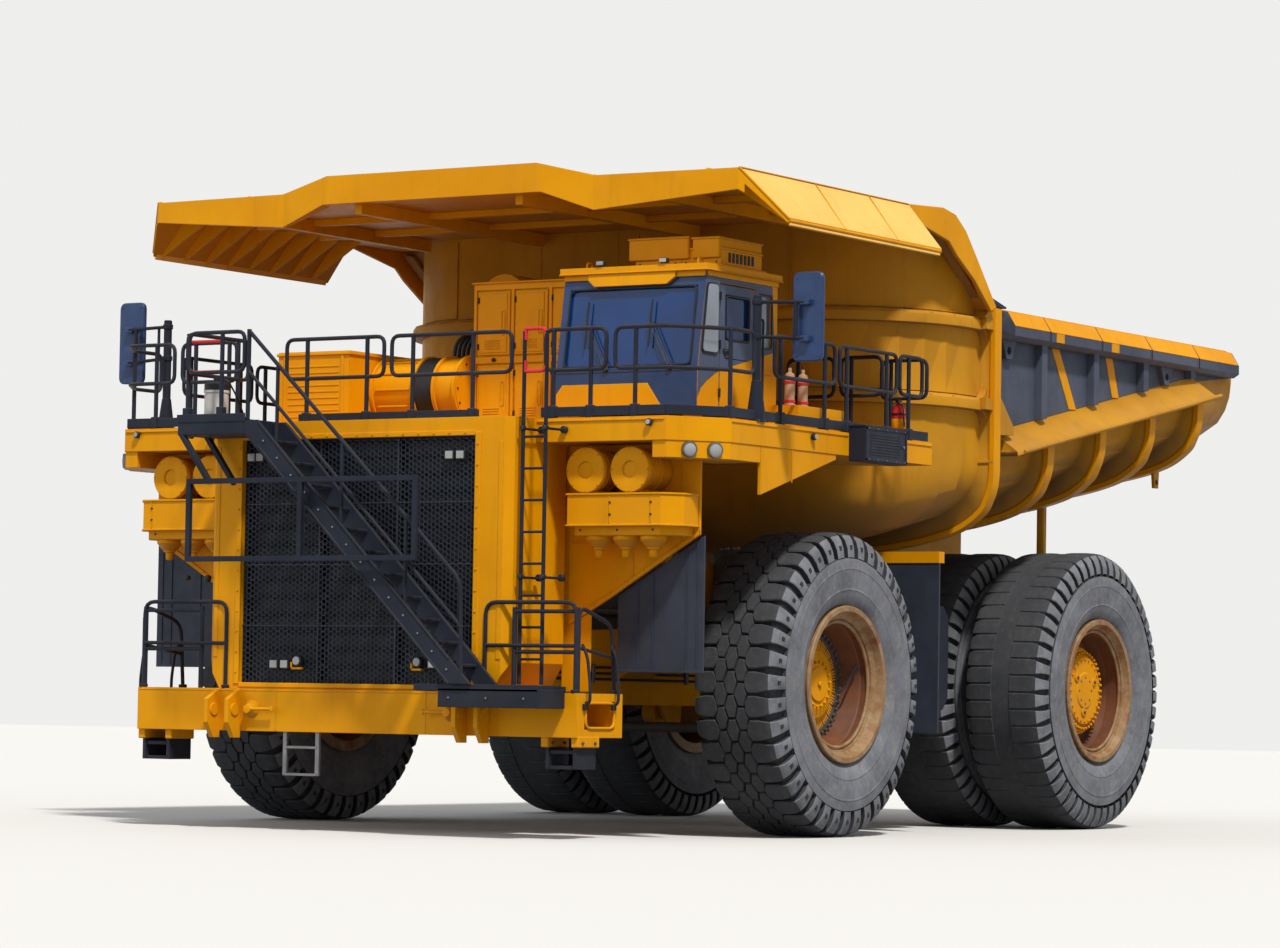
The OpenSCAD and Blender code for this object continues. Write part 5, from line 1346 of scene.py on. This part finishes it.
def make_cabinet_trim():
    """Doors' handles, hinges and vents of the control cabinet; bands of the retarder; seams of the duct."""
    shape = Shape()
    face, left, width = -1.9, 0.09, 0.5233
    for column, (z0, z1) in product(range(3), ((4.8, 5.48), (5.6, 6.35))):
        x0, x1 = left + column * width + 0.02, left + (column + 1) * width - 0.06
        shape.block((x0 + 0.025, x1 - 0.025), (face - 0.008, face + 0.004), (z0 + 0.025, z1 - 0.025), 0.004)
        # Recessed grip at the door's side
        shape.frame(about(x1 - 0.075, 0.022), face - 0.01, about((z0 + z1) / 2, 0.14), 0.021, 0.006, 6)
        shape.studs(x0 + 0.012, face - 0.012, (z0 + 0.065, z1 - 0.135), (0, 0, 0.07), 0.011, 8, 1)
        for z in row(z0 + 0.07, 0.03, 4):
            shape.block((x0 + 0.1, x1 - 0.12), (face - 0.014, face - 0.004), (z, z + 0.012), 0.003)
    shape.block((0.03, 1.71), (face - 0.03, -0.88), (6.442, 6.466), 0.006)
    shape.block((0.03, 1.71), (face - 0.02, -0.88), (4.703, 4.775), 0.006)
    shape.studs(0.35, face, 5.54, (0, -0.03, 0), 0.024, 12, 1, 0.005)
    # Retarder: ribs along the drum, bolts on its end, louvred box
    drum_y, drum_z = -1.8, 5.2
    for c, s in circle(12):
        shape.block((-1.16, -0.66), about(drum_y + 0.388 * c, 0.012), about(drum_z + 0.388 * s, 0.012),
                    0.004)
        shape.studs(-0.005, drum_y + 0.34 * c, drum_z + 0.34 * s, (0.017, 0, 0), 0.014, 6, 1)
    shape.collar(at(-0.6, drum_y, drum_z), ACROSS, 0.381, 0.396, 0.24, steps=64, slot=1)
    shape.block((-2.32, -1.23), (-2.62, -0.88), (5.6, 5.635), 0.006)
    for z in row(4.86, 0.075, 9):
        shape.block((-2.15, -1.4), (-2.606, -2.598), (z, z + 0.022), 0.003)
    for x in (-2.2, -1.35):
        shape.block(about(x, 0.02), (-2.612, -2.598), (4.72, 5.6), 0.004)
    # Duct: flanges and a band of bolts
    for z in (4.74, 5.55, 6.3):
        shape.block((-0.725, 0.025), (-0.725, 0.125), (z, z + 0.028), 0.005)
    shape.studs(row(-0.62, 0.108, 6), -0.725, 5.564, (0, -0.012, 0), 0.012)
    shape.piece("cabinet_trim", "chassis", "chrome_yellow_paint", ["yellow", "black"])


def make_side_box_trim():
    """Framed door of the dark box on the deck's left side, and straps and steps of the tanks."""
    shape = Shape()
    x = 4.5
    for y, z in (((-0.31, 0.67), (4.38, 4.41)), ((-0.31, 0.67), (4.74, 4.77)),
                 ((-0.31, -0.28), (4.38, 4.77)), ((0.64, 0.67), (4.38, 4.77))):
        shape.block((x - 0.002, x + 0.01), y, z, 0.003)
    shape.studs(x + 0.008, row(-0.25, 0.215, 5), (4.395, 4.755), (0.008, 0, 0), 0.009, 6, 1, 0.002)
    for z in row(4.45, 0.033, 8):
        shape.block((x - 0.001, x + 0.006), (-0.2, 0.5), (z, z + 0.012), 0.002)
    shape.studs(x, 0.58, 4.575, (0.022, 0, 0), 0.018, 12, 1, 0.004)
    shape.block((4.27, 4.505), (-0.33, 0.69), (4.775, 4.79), 0.004)
    # Straps round the tanks
    ring = ((2.575, 1.645), (2.695, 1.495), (3.955, 1.495), (4.085, 1.645), (4.085, 2.655), (3.955, 2.805),
            (2.695, 2.805), (2.575, 2.655))
    for side in (1, -1):
        for strap in (1.85, 2.9):
            shape.pipe([(side * strap, y, z) for y, z in ring], 0.022, 0, 6, 1, True)
        shape.studs(side * 3.25, 3, 2.55, (side * 0.05, 0, 0), 0.075, 24, 1, 0.012)
        shape.studs(side * 2.4, 3.3, 2.8, (0, 0, 0.08), 0.1, 24, 0, 0.02)
        shape.lathe(at(side * 3.25, 3.33, 2.15), (side, 0, 0),
                    [(0.4, 0), (0.4, 0.008), (0.385, 0.014), (0, 0.016)], 48)
    shape.piece("side_box_trim", "chassis", "blue_black_paint", ["dark", "steel"])


# Bed

BED_X = 3.88
FLOOR_Y, FLOOR_Z, FLOOR_RISE = 5, 3.95, 0.19
# Outer line of the hoops: (in from the side, up from the floor)
HOOP_LINE = [(0, 1), (0.02, 0.8), (0.08, 0.62), (0.19, 0.45), (0.52, 0.24), (1.12, 0.08), (1.8, 0),
             (2.86, 0)]
HOOP_DEEP, HOOP_WIDE = 0.2, 0.15
HOOPS = row(3.65, 1.48, 5)
CORNER_Y, CORNER_R = 1.3, 1.9
BAND_LOW = 6.16
RAIL_TOP = 6.51


def floor_z(y):
    """Underside of the bed's skin at y."""
    return FLOOR_Z + FLOOR_RISE * (y - FLOOR_Y)


def ledge_z(y):
    return floor_z(y) + 1.232


def bed_half(y):
    """Half width of the bed's skin round its front corner."""
    inside = max(0, CORNER_R - (y - CORNER_Y))
    return BED_X - CORNER_R + math.sqrt(CORNER_R ** 2 - inside ** 2)


def make_bed_panels():
    """Dark fields between the ribs with their slanted stripes, and the two-tone top rail."""
    part = Shape()
    skin_x = BED_X + 0.001
    fields = [(y + HOOP_WIDE + 0.002, after - 0.002) for y, after in zip(HOOPS, HOOPS[1:])]
    fields = [[(y0, ledge_z(y0)), (y1, ledge_z(y1)), (y1, BAND_LOW), (y0, BAND_LOW)] for y0, y1 in fields]
    # The last field is the dark wedge behind the last rib
    for field in fields + [[(9.722, 6.02), (10.9, 6.155), (9.722, 6.155)]]:
        part.plate("x", field, skin_x - 0.004, skin_x + 0.004)
    # Slanted stripes: lower and upper end, over the field
    for low, high, half in ((6.2, 5.7, 0.105), (7.45, 7.25, 0.1)):
        stripe = [(y, ledge_z(low)) for y in about(low, half)] + [(y, BAND_LOW) for y in about(high, -half)]
        part.plate("x", stripe, skin_x, skin_x + 0.009, 1)
    # Rail: yellow top and slope, with seams above each rib
    line = ((3.885, RAIL_TOP + 0.006), (3.964, RAIL_TOP + 0.006), (4.076, 6.334), (4.07, 6.326),
            (3.958, RAIL_TOP - 0.002), (3.885, RAIL_TOP - 0.002))
    part.plate("y", line, 4.22, 10.9, 1)
    # Lip along the inner edge of the top
    part.block((3.8, 3.888), (3.98, 10.93), (6.512, 6.545), 0.008, 1)
    for y, line in product(HOOPS[1:], (((3.962, RAIL_TOP + 0.008), (4.079, 6.333)),
                                       ((4.079, 6.333), (4.079, 6.21)))):
        part.pipe([(x, y + 0.07, z) for x, z in line], 0.006, 0, 6, 2)
    # The stripes run on over the dark band of the rail
    for y in (5.48, 7.07):
        part.block((4.066, 4.075), about(y, 0.11), (6.212, 6.33), 0.002, 1)
    part.join(part.mirrored()).piece("bed_side_panels", "bed", "blue_black_paint",
                                     ["side_dark", "yellow", "black"])


def band_ring(shape, plan, section, z):
    """Band along an open plan path of (x, y); its section lists (outward, upward) points."""
    rings, n = [], len(plan)
    for i, (x, y) in enumerate(plan):
        ahead = (Vector(plan[min(i + 1, n - 1)]) - Vector(plan[max(i - 1, 0)])).normalized()
        out = Vector((-ahead.y, ahead.x))
        if i in (0, n - 1):
            out = Vector((math.copysign(1, x), 0))
        if out.dot(Vector((x, y - 3.6))) < 0:
            out = -out
        rings.append([at(x + out.x * o, y + out.y * o, z + up) for o, up in section])
    shape.sweep(rings)


def smooth_line(points, steps):
    """Curve through the points, rounded between them."""
    line = []
    for i in range(len(points) - 1):
        a, b = Vector(points[max(i - 1, 0)]), Vector(points[i])
        c, d = Vector(points[i + 1]), Vector(points[min(i + 2, len(points) - 1)])
        for k in range(steps):
            t = k / steps
            line.append(0.5 * (2 * b + (c - a) * t + (2 * a - 5 * b + 4 * c - d) * t ** 2
                               + (3 * b - 3 * c + d - a) * t ** 3))
    return line + [Vector(points[-1])]


def hoop_rim(shape, y, top):
    """Smooth flange on the outer edge of one hoop, left side."""
    low = floor_z(y) - HOOP_DEEP
    line = [(BED_X + HOOP_DEEP - x, low + z) for x, z in HOOP_LINE]
    line = [Vector((line[0][0], top))] + smooth_line(line, 6)
    rings, n = [], len(line)
    for i, here in enumerate(line):
        ahead = (line[min(i + 1, n - 1)] - line[max(i - 1, 0)]).normalized()
        rings.append([at(here.x - ahead.y * o, y + dy, here.y + ahead.x * o)
                      for o, dy in ((-0.05, -0.012), (0.016, -0.012), (0.016, HOOP_WIDE + 0.012),
                                    (-0.05, HOOP_WIDE + 0.012))])
    shape.sweep(rings)


def make_hoop_rims():
    shape = Shape()
    for y in HOOPS:
        hoop_rim(shape, y, 6.5 if y == HOOPS[0] else floor_z(y) + 0.92)
    shape.join(shape.mirrored()).piece("hoop_rims", "bed", "chrome_yellow_paint", "yellow", 40)


def corner_arc(steps):
    """Plan points round the left front corner, from the side to the front wall."""
    turns = [math.pi / 2 * k / steps for k in range(steps + 1)]
    return [(BED_X - CORNER_R + CORNER_R * math.cos(a), CORNER_Y + CORNER_R - CORNER_R * math.sin(a))
            for a in turns]


def make_bed_trim():
    """Weld seams, gussets and edge strips of the bed, left then mirrored."""
    part = Shape()
    # Weld beads: over the bands round the corner, and up the front wall
    arc = [y for x, y in corner_arc(12)]
    for z, last in ((6.405, 2), (5.405, 3)):
        part.pipe([(bed_half(y) + 0.002, y, z) for y in [3.62] + arc[:-last]], 0.009, 0, 6)
    foot = arc[-3]
    part.pipe([(bed_half(foot) + 0.002, foot - 0.004, z) for z in (6.41, 6.6, 7, 7.38)], 0.009, 0, 6)
    # Gussets at the first hoop, cap over the front wall's sloping end, bracket under the skin near the tail
    for outline, x0, x1, slot in (([(3.79, 5.46), (3.79, 4.93), (4.2, 4.95), (4.2, 5.06)], 3.882, 4.075, 0),
                                  ([(3.652, 6.37), (3.4, 6.37), (3.652, 6.6)], 3.885, 4.07, 0),
                                  ([(2.33, 7.41), (3.5, 6.62), (3.56, 6.62), (2.37, 7.43)], 3.72, 4.03, 0),
                                  ([(3.55, 6.53), (4, 6.525), (4, 6.545), (3.57, 6.64)], 3.78, 4.06, 1),
                                  ([(9.62, 5), (9.84, 5.03), (9.8, 4.58), (9.68, 4.58)], 3.36, 3.4, 0)):
        part.plate("x", outline, x0, x1, slot)
    for z in (5.3, 6.3):
        part.plate("y", [(3.99, z - 0.07), (4.075, z - 0.07), (4.075, z + 0.07), (3.99, z + 0.07)], 3.45,
                   3.655)
    # Rounded fillet pieces between hoop and bands
    for z, turn in ((5.37, 0.2), (6.23, -0.2), (5.23, -0.2)):
        bends = [math.pi / 2 * (1 - k / 5) for k in range(1, 6)]
        fillet = [(3.652 - 0.2 * (1 - math.sin(a)), z + turn * (1 - math.cos(a))) for a in bends]
        part.plate("x", [(3.652, z), (3.652, z + turn)] + fillet, 3.882, 3.985)
    # Edge of the rock ledge
    part.pipe([(4.2, y, floor_z(y) + 0.937) for y in (4.25, 10.07)], 0.032)
    # Dark start of the top rail
    line = ((3.89, 6.516), (3.966, 6.516), (4.078, 6.335), (4.078, 6.21), (4.07, 6.21), (4.07, 6.326),
            (3.958, 6.508), (3.89, 6.508))
    part.plate("y", line, 3.802, 4.215, 1)
    # Pin of the tail's bracket and the ejector's ring at its top
    part.studs(3.35, 9.74, 4.66, (0.06, 0, 0), 0.035, 16, 1, 0.004)
    part.studs(3.05, 7, 3.3, (0, 0, 0.06), 0.07, 16, 0, 0.01)
    for y in HOOPS:
        z = floor_z(y + HOOP_WIDE / 2)
        part.block((3.84, 4.092), about(y + HOOP_WIDE / 2, 0.088), (z + 0.86, z + 0.9), 0.006)
    shape = part.join(part.mirrored())
    # Smooth bands round the front corners
    plan = [(BED_X, 3.64)] + corner_arc(28)
    plan += [(-x, y) for x, y in reversed(plan)]
    section = [(-0.02, 0.098), (0.122, 0.04), (0.124, 0.034), (0.124, -0.074), (0.118, -0.08),
               (-0.02, -0.084)]
    for z in (5.3, 6.3):
        band_ring(shape, plan, section, z)
    # Front wall: ribs of the plate seams
    for x in (-1.15, 0, 1.15):
        shape.block(about(x, 0.012), (1.293, 1.303), (4.6, 7.38), 0.003)
    shape.piece("bed_seams", "bed", "chrome_yellow_paint", ["bed", "dark"])


def make_canopy_trim():
    """Edge bars, seams and lifting lugs of the canopy."""
    part = Shape()
    for a, b, r, steps in (((4.552, -2.2, 6.965), (4.552, 1.34, 6.965), 0.022, 8),
                           ((4.143, -2.64, 7.548), (4.143, 1.28, 7.548), 0.01, 6),
                           ((4.143, -2.66, 7.545), (4.552, -2.235, 6.99), 0.016, 6),
                           ((2.22, -2.665, 7.553), (2.22, 2.3, 7.553), 0.009, 6),
                           ((1.5, -2.76, 7.71), (1.5, 2.3, 7.71), 0.009, 6),
                           ((4.146, -0.95, 7.545), (4.556, -0.95, 6.995), 0.008, 6),
                           ((4.146, 0.3, 7.545), (4.556, 0.3, 6.995), 0.008, 6)):
        part.pipe([a, b], r, 0, steps)
    # Lower lip of the wing, in the sunlit yellow: painted highlight
    part.plate("y", ((4.5, 7.04), (4.556, 6.975), (4.566, 6.915), (4.54, 6.905)), -2.2, 1.32, 1, 0.004)
    # Cap behind the wing, down the bed's sloping edge
    crest = [(1.34, 7.555), (2.15, 7.6), (2.47, 7.545), (2.74, 7.37), (3.01, 7.09), (3.56, 6.5)]
    foot = [(3.42, 6.44), (2.98, 6.78), (2.5, 7.05), (2.3, 7.2), (1.34, 7.38)]
    part.plate("x", crest + foot, 4.1, 4.155, 0, 0.008)
    part.plate("x", crest + [(y - 0.03, z - 0.05) for y, z in crest[::-1]], 3.6, 4.12, 0, 0.004)
    for y in (-1.9, 0.9):
        part.plate("x", [(y - 0.14, 7.54), (y + 0.14, 7.54), (y + 0.06, 7.66), (y - 0.06, 7.66)], 3.28,
                   3.32, 0, 0.004)
    for y, x in product((-1.2, 0.1), ((1.2, 2.85), (2.95, 3.72))):
        part.block(x, about(y, 0.05), (7.34, 7.425), 0.006)
    shape = part.join(part.mirrored())
    for y in (-1.2, 0.1):
        shape.block((-1.1, 1.1), about(y, 0.05), (7.34, 7.425), 0.006)
    shape.piece("canopy_seams", "bed", "chrome_yellow_paint", ["yellow", "pale"])


# Underneath

STRUT_X = 2.55
AXLE_Z_REAR, AXLE_BACK = 1.78, 6.35
HOSE_X = 1.165


def make_engine_trim():
    """Engine and alternator in the frame, with heads, pipes, belts and guards."""
    shape = Shape()
    for side in (1, -1):
        head, flank = side * 0.48, side * 0.7
        for y in row(-1.78, 0.225, 8):
            shape.block(about(head, 0.2), (y, y + 0.18), (2.98, 3.16), 0.03)
            shape.block(about(head, 0.15), (y + 0.03, y + 0.15), (3.155, 3.2), 0.02, 1)
        shape.studs(side * 0.2, -1.8, 3.12, (0, 1.82, 0), 0.11, 24, 2, 0.02)
        for y in row(-1.7, 0.3, 7):
            shape.block((flank - 0.012, flank + 0.03), (y, y + 0.19), (1.72, 2.02), 0.02, 1)
            shape.studs(flank, y + 0.1, 2.3, (side * 0.06, 0, 0), 0.07, 20, 1, 0.015)
        shape.pipe([(side * 0.745, -1.9, 2.62), (side * 0.745, 0.7, 2.62)], 0.045, 0, 10, 2)
        shape.pipe([(head, 0.1, 3.22), (head, 0.55, 3.3), (side * 0.25, 0.85, 3.3)], 0.13, 0.2, 16, 2)
    # Pulleys at the front, alternator drum at the rear
    for x, z, r in ((0, 1.95, 0.26), (0.38, 2.45, 0.16), (-0.38, 2.45, 0.16), (0, 2.75, 0.2)):
        line = [(r, 0), (r, 0.03), (r - 0.03, 0.045), (r, 0.06), (r, 0.09), (r * 0.4, 0.1), (0, 0.1)]
        shape.lathe(at(x, -2, z), FORWARD, line, 40, 1)
    drum_z = 2.28
    shape.studs(0, 0.8, drum_z, (0, 0.8, 0), 0.62, 56, 1, 0.05)
    for c, s in circle(20):
        shape.block(about(0.615 * c, 0.02), (0.95, 1.5), about(drum_z + 0.615 * s, 0.02), 0.006, 1)
    shape.piece("engine_fittings", "chassis", "engine_steel", ["iron", "yellow", "steel"])


def make_running_gear_trim():
    """Bands, bolts and hoses on the struts, the axle and the frame rails."""
    shape = Shape()
    for side in (1, -1):
        strut = side * STRUT_X
        for z, r in ((2.36, 0.252), (2.95, 0.246), (3.28, 0.252)):
            shape.collar(at(strut, 0, z), UP, 0.23, r, 0.06, 0.006)
        shape.ring_of_bolts(at(strut, 0, 3.35), UP, 0.16, 10, 0.022, 0.025, 1)
        shape.studs(strut, 0, 3.35, (0, 0, 0.05), 0.07, 20, 1, 0.01)
        # Brake hoses from the rails to the knuckles' carriers
        for r, hose in ((0.02, ((1.16, -0.3, 2.6), (1.5, -0.42, 2.75), (2.05, -0.42, 2.7),
                                (2.3, -0.36, 2.6))),
                        (0.016, ((1.16, -0.2, 2.5), (1.5, -0.4, 2.62), (2.05, -0.4, 2.58),
                                 (2.3, -0.36, 2.48)))):
            shape.pipe([(side * x, y, z) for x, y, z in hose], r, 0.2, 8, 2)
        # Rear axle: flange and bolts at the wheels' side
        shape.lathe(at(side * 1.22, AXLE_BACK, AXLE_Z_REAR), (side, 0, 0),
                    [(0.62, 0), (0.665, 0.006), (0.665, 0.055), (0.545, 0.062)], 72)
        shape.ring_of_bolts(at(side * 1.28, AXLE_BACK, AXLE_Z_REAR), (side, 0, 0), 0.6, 30, 0.02, 0.022, 1)
        # Long hoses along the rails, and their clips
        for z in row(1.8, 0.07, 3):
            shape.pipe([(side * HOSE_X, -2.6, z), (side * HOSE_X, 3.9, z)], 0.016, 0, 6, 2)
        for y in (-1.9, -0.9, 1.2, 3.4):
            shape.block(about(side * HOSE_X, 0.022), about(y, 0.03), (1.76, 1.98), 0.006, 1)
        # Rear lamps on the frame's tail
        shape.studs((side * 0.93, side * 1.07), 8.375, 2.8, (0, 0.03, 0), 0.055, 20, 3, 0.008)
    # Ribs and cover of the axle's middle
    for k in range(9):
        a = math.pi * (0.1 + 0.8 * k / 8)
        shape.block((-0.9, 0.9), about(AXLE_BACK + 0.615 * math.cos(a), 0.015),
                    about(AXLE_Z_REAR + 0.615 * math.sin(a), 0.015), 0.004)
    shape.lathe(at(0, AXLE_BACK + 0.6, AXLE_Z_REAR), (0, 1, 0),
                [(0.46, 0), (0.46, 0.045), (0.4, 0.075), (0, 0.09)], 56)
    shape.ring_of_bolts(at(0, AXLE_BACK + 0.64, AXLE_Z_REAR), (0, 1, 0), 0.43, 20, 0.02, 0.022, 1)
    shape.piece("running_gear_fittings", "chassis", "engine_steel", ["iron", "steel", "black", "red"])


def smooth_copy(name, body, angle):
    """Seamless copy of a faceted node in its place, shaded smoothly over its slight bends."""
    work = bmesh.new()
    work.from_mesh(NODES[name].data)
    bmesh.ops.remove_doubles(work, verts=work.verts, dist=0.0004)
    mesh = bpy.data.meshes.new(name + "_smooth")
    work.to_mesh(mesh)
    work.free()
    mesh.polygons.foreach_set("use_smooth", [True] * len(mesh.polygons))
    mesh.set_sharp_from_angle(angle=math.radians(angle))
    for node_slot in NODES[name].material_slots:
        mesh.materials.append(node_slot.material)
    copy = bpy.data.objects.new(name + "_smooth", mesh)
    bpy.context.scene.collection.objects.link(copy)
    even = copy.modifiers.new("even_normals", "WEIGHTED_NORMAL")
    even.keep_sharp = True
    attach(copy, body)
    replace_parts(copy, name)


def recolour(name, key, test):
    """Gives the faces of a node that pass the test another finish."""
    mesh = NODES[name].data
    mesh.materials.append(MAT[key])
    for polygon in mesh.polygons:
        if test(polygon.center, polygon.normal):
            polygon.material_index = len(mesh.materials) - 1


def recolour_rim(node, axle_y, hub, back):
    """Yellow hub, and the barrel in rust darkened by painted shade; back is the depth of the rim's mouth."""
    face = max(abs(corner.x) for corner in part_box(node)) - back

    def reach(c):
        return math.hypot(c.y - axle_y, c.z - AXLE_Z)

    recolour(node, "yellow", lambda c, n: reach(c) < hub)
    recolour(node, "rim_deep", lambda c, n: hub <= reach(c) < 0.8 and abs(c.x) < face)


def two_tone_and_painted_light():
    for side in ("left", "right"):
        recolour_rim("rim_front_" + side, AXLE_Y, 0.545, 0.16)
        recolour_rim("rims_rear_" + side, REAR_Y, 0.575, 0.13)
    recolour("cab_glass", "pane", lambda c, n: c.x > CAB_SIDE - 0.2)
    # Canopy faces that look up take the sunlit yellow: painted highlight
    recolour("canopy", "pale", lambda c, n: abs(c.x) > 4.16 and n.z > 0.2)
    recolour("side_boxes", "yellow", lambda c, n: 3.6 < c.x < 4.2 and c.y - AXLE_Y < -0.15 and c.z > 4.6)
    # The grille's deep core turns black: its own dark colour, deepened as painted shade in the recess behind
    # the mesh
    recolour("grille", "black", lambda c, n: c.y > HOUSING_Y + AXLE_Y + 0.14)


# Which finish each node of the frame takes
NODE_FINISH = {
    "yellow": "frame bumper radiator_housing deck fender_panels air_cleaners control_cabinet retarder "
              "air_duct cab_shell cab_aircon knuckle_left knuckle_right rear_axle canopy hoist_barrels",
    "bed": "bed_shell bed_bolsters",
    "dark": "deck_rails side_boxes mirrors",
    "side_dark": "bed_side_rails",
    "ink": "grille stairs ladder bumper_walkway number_frame",
    "cab_blue": "cab_door",
    "iron": "engine suspension_struts tie_rod",
    "lens": "headlamps",
    "flap": "mud_flaps",
    "glass": "cab_glass",
    "trim": "cab_interior",
    "tread": "tyre_front_left tyre_front_right tyres_rear_left tyres_rear_right",
    "rim": "rim_front_left rim_front_right rims_rear_left rims_rear_right",
    "steel": "hoist_sleeves",
    "chrome": "hoist_rods",
}


def dress_nodes():
    for key, names in NODE_FINISH.items():
        for name in names.split():
            for slot in NODES[name].material_slots:
                slot.material = MAT[key]


make_camera()
make_light("sun", (-0.5, 0.4, -0.95), 3.3, 5, (1, 0.97, 0.92))
make_light("fill", (0.6, 0.75, -0.3), 0.55, 40, (0.9, 0.94, 1))
make_world()
make_stage()
make_materials()
dress_nodes()
for make_pieces in (make_wheels, make_rim_trim, make_handrails, make_grille_mesh, make_nose_lamps,
                    make_housing_trim, make_bumper_trim, make_stairs, make_fender_trim,
                    make_air_cleaners, make_cab_panels, make_cab_trim, make_roof_unit, make_cab_seat,
                    make_mirrors, make_deck_fittings, make_cabinet_trim, make_side_box_trim,
                    make_bed_panels, make_bed_trim, make_hoop_rims, make_canopy_trim, make_engine_trim,
                    make_running_gear_trim):
    make_pieces()
two_tone_and_painted_light()
smooth_copy("bed_shell", "bed", 30)

bpy.context.scene.view_settings.view_transform = "Standard"
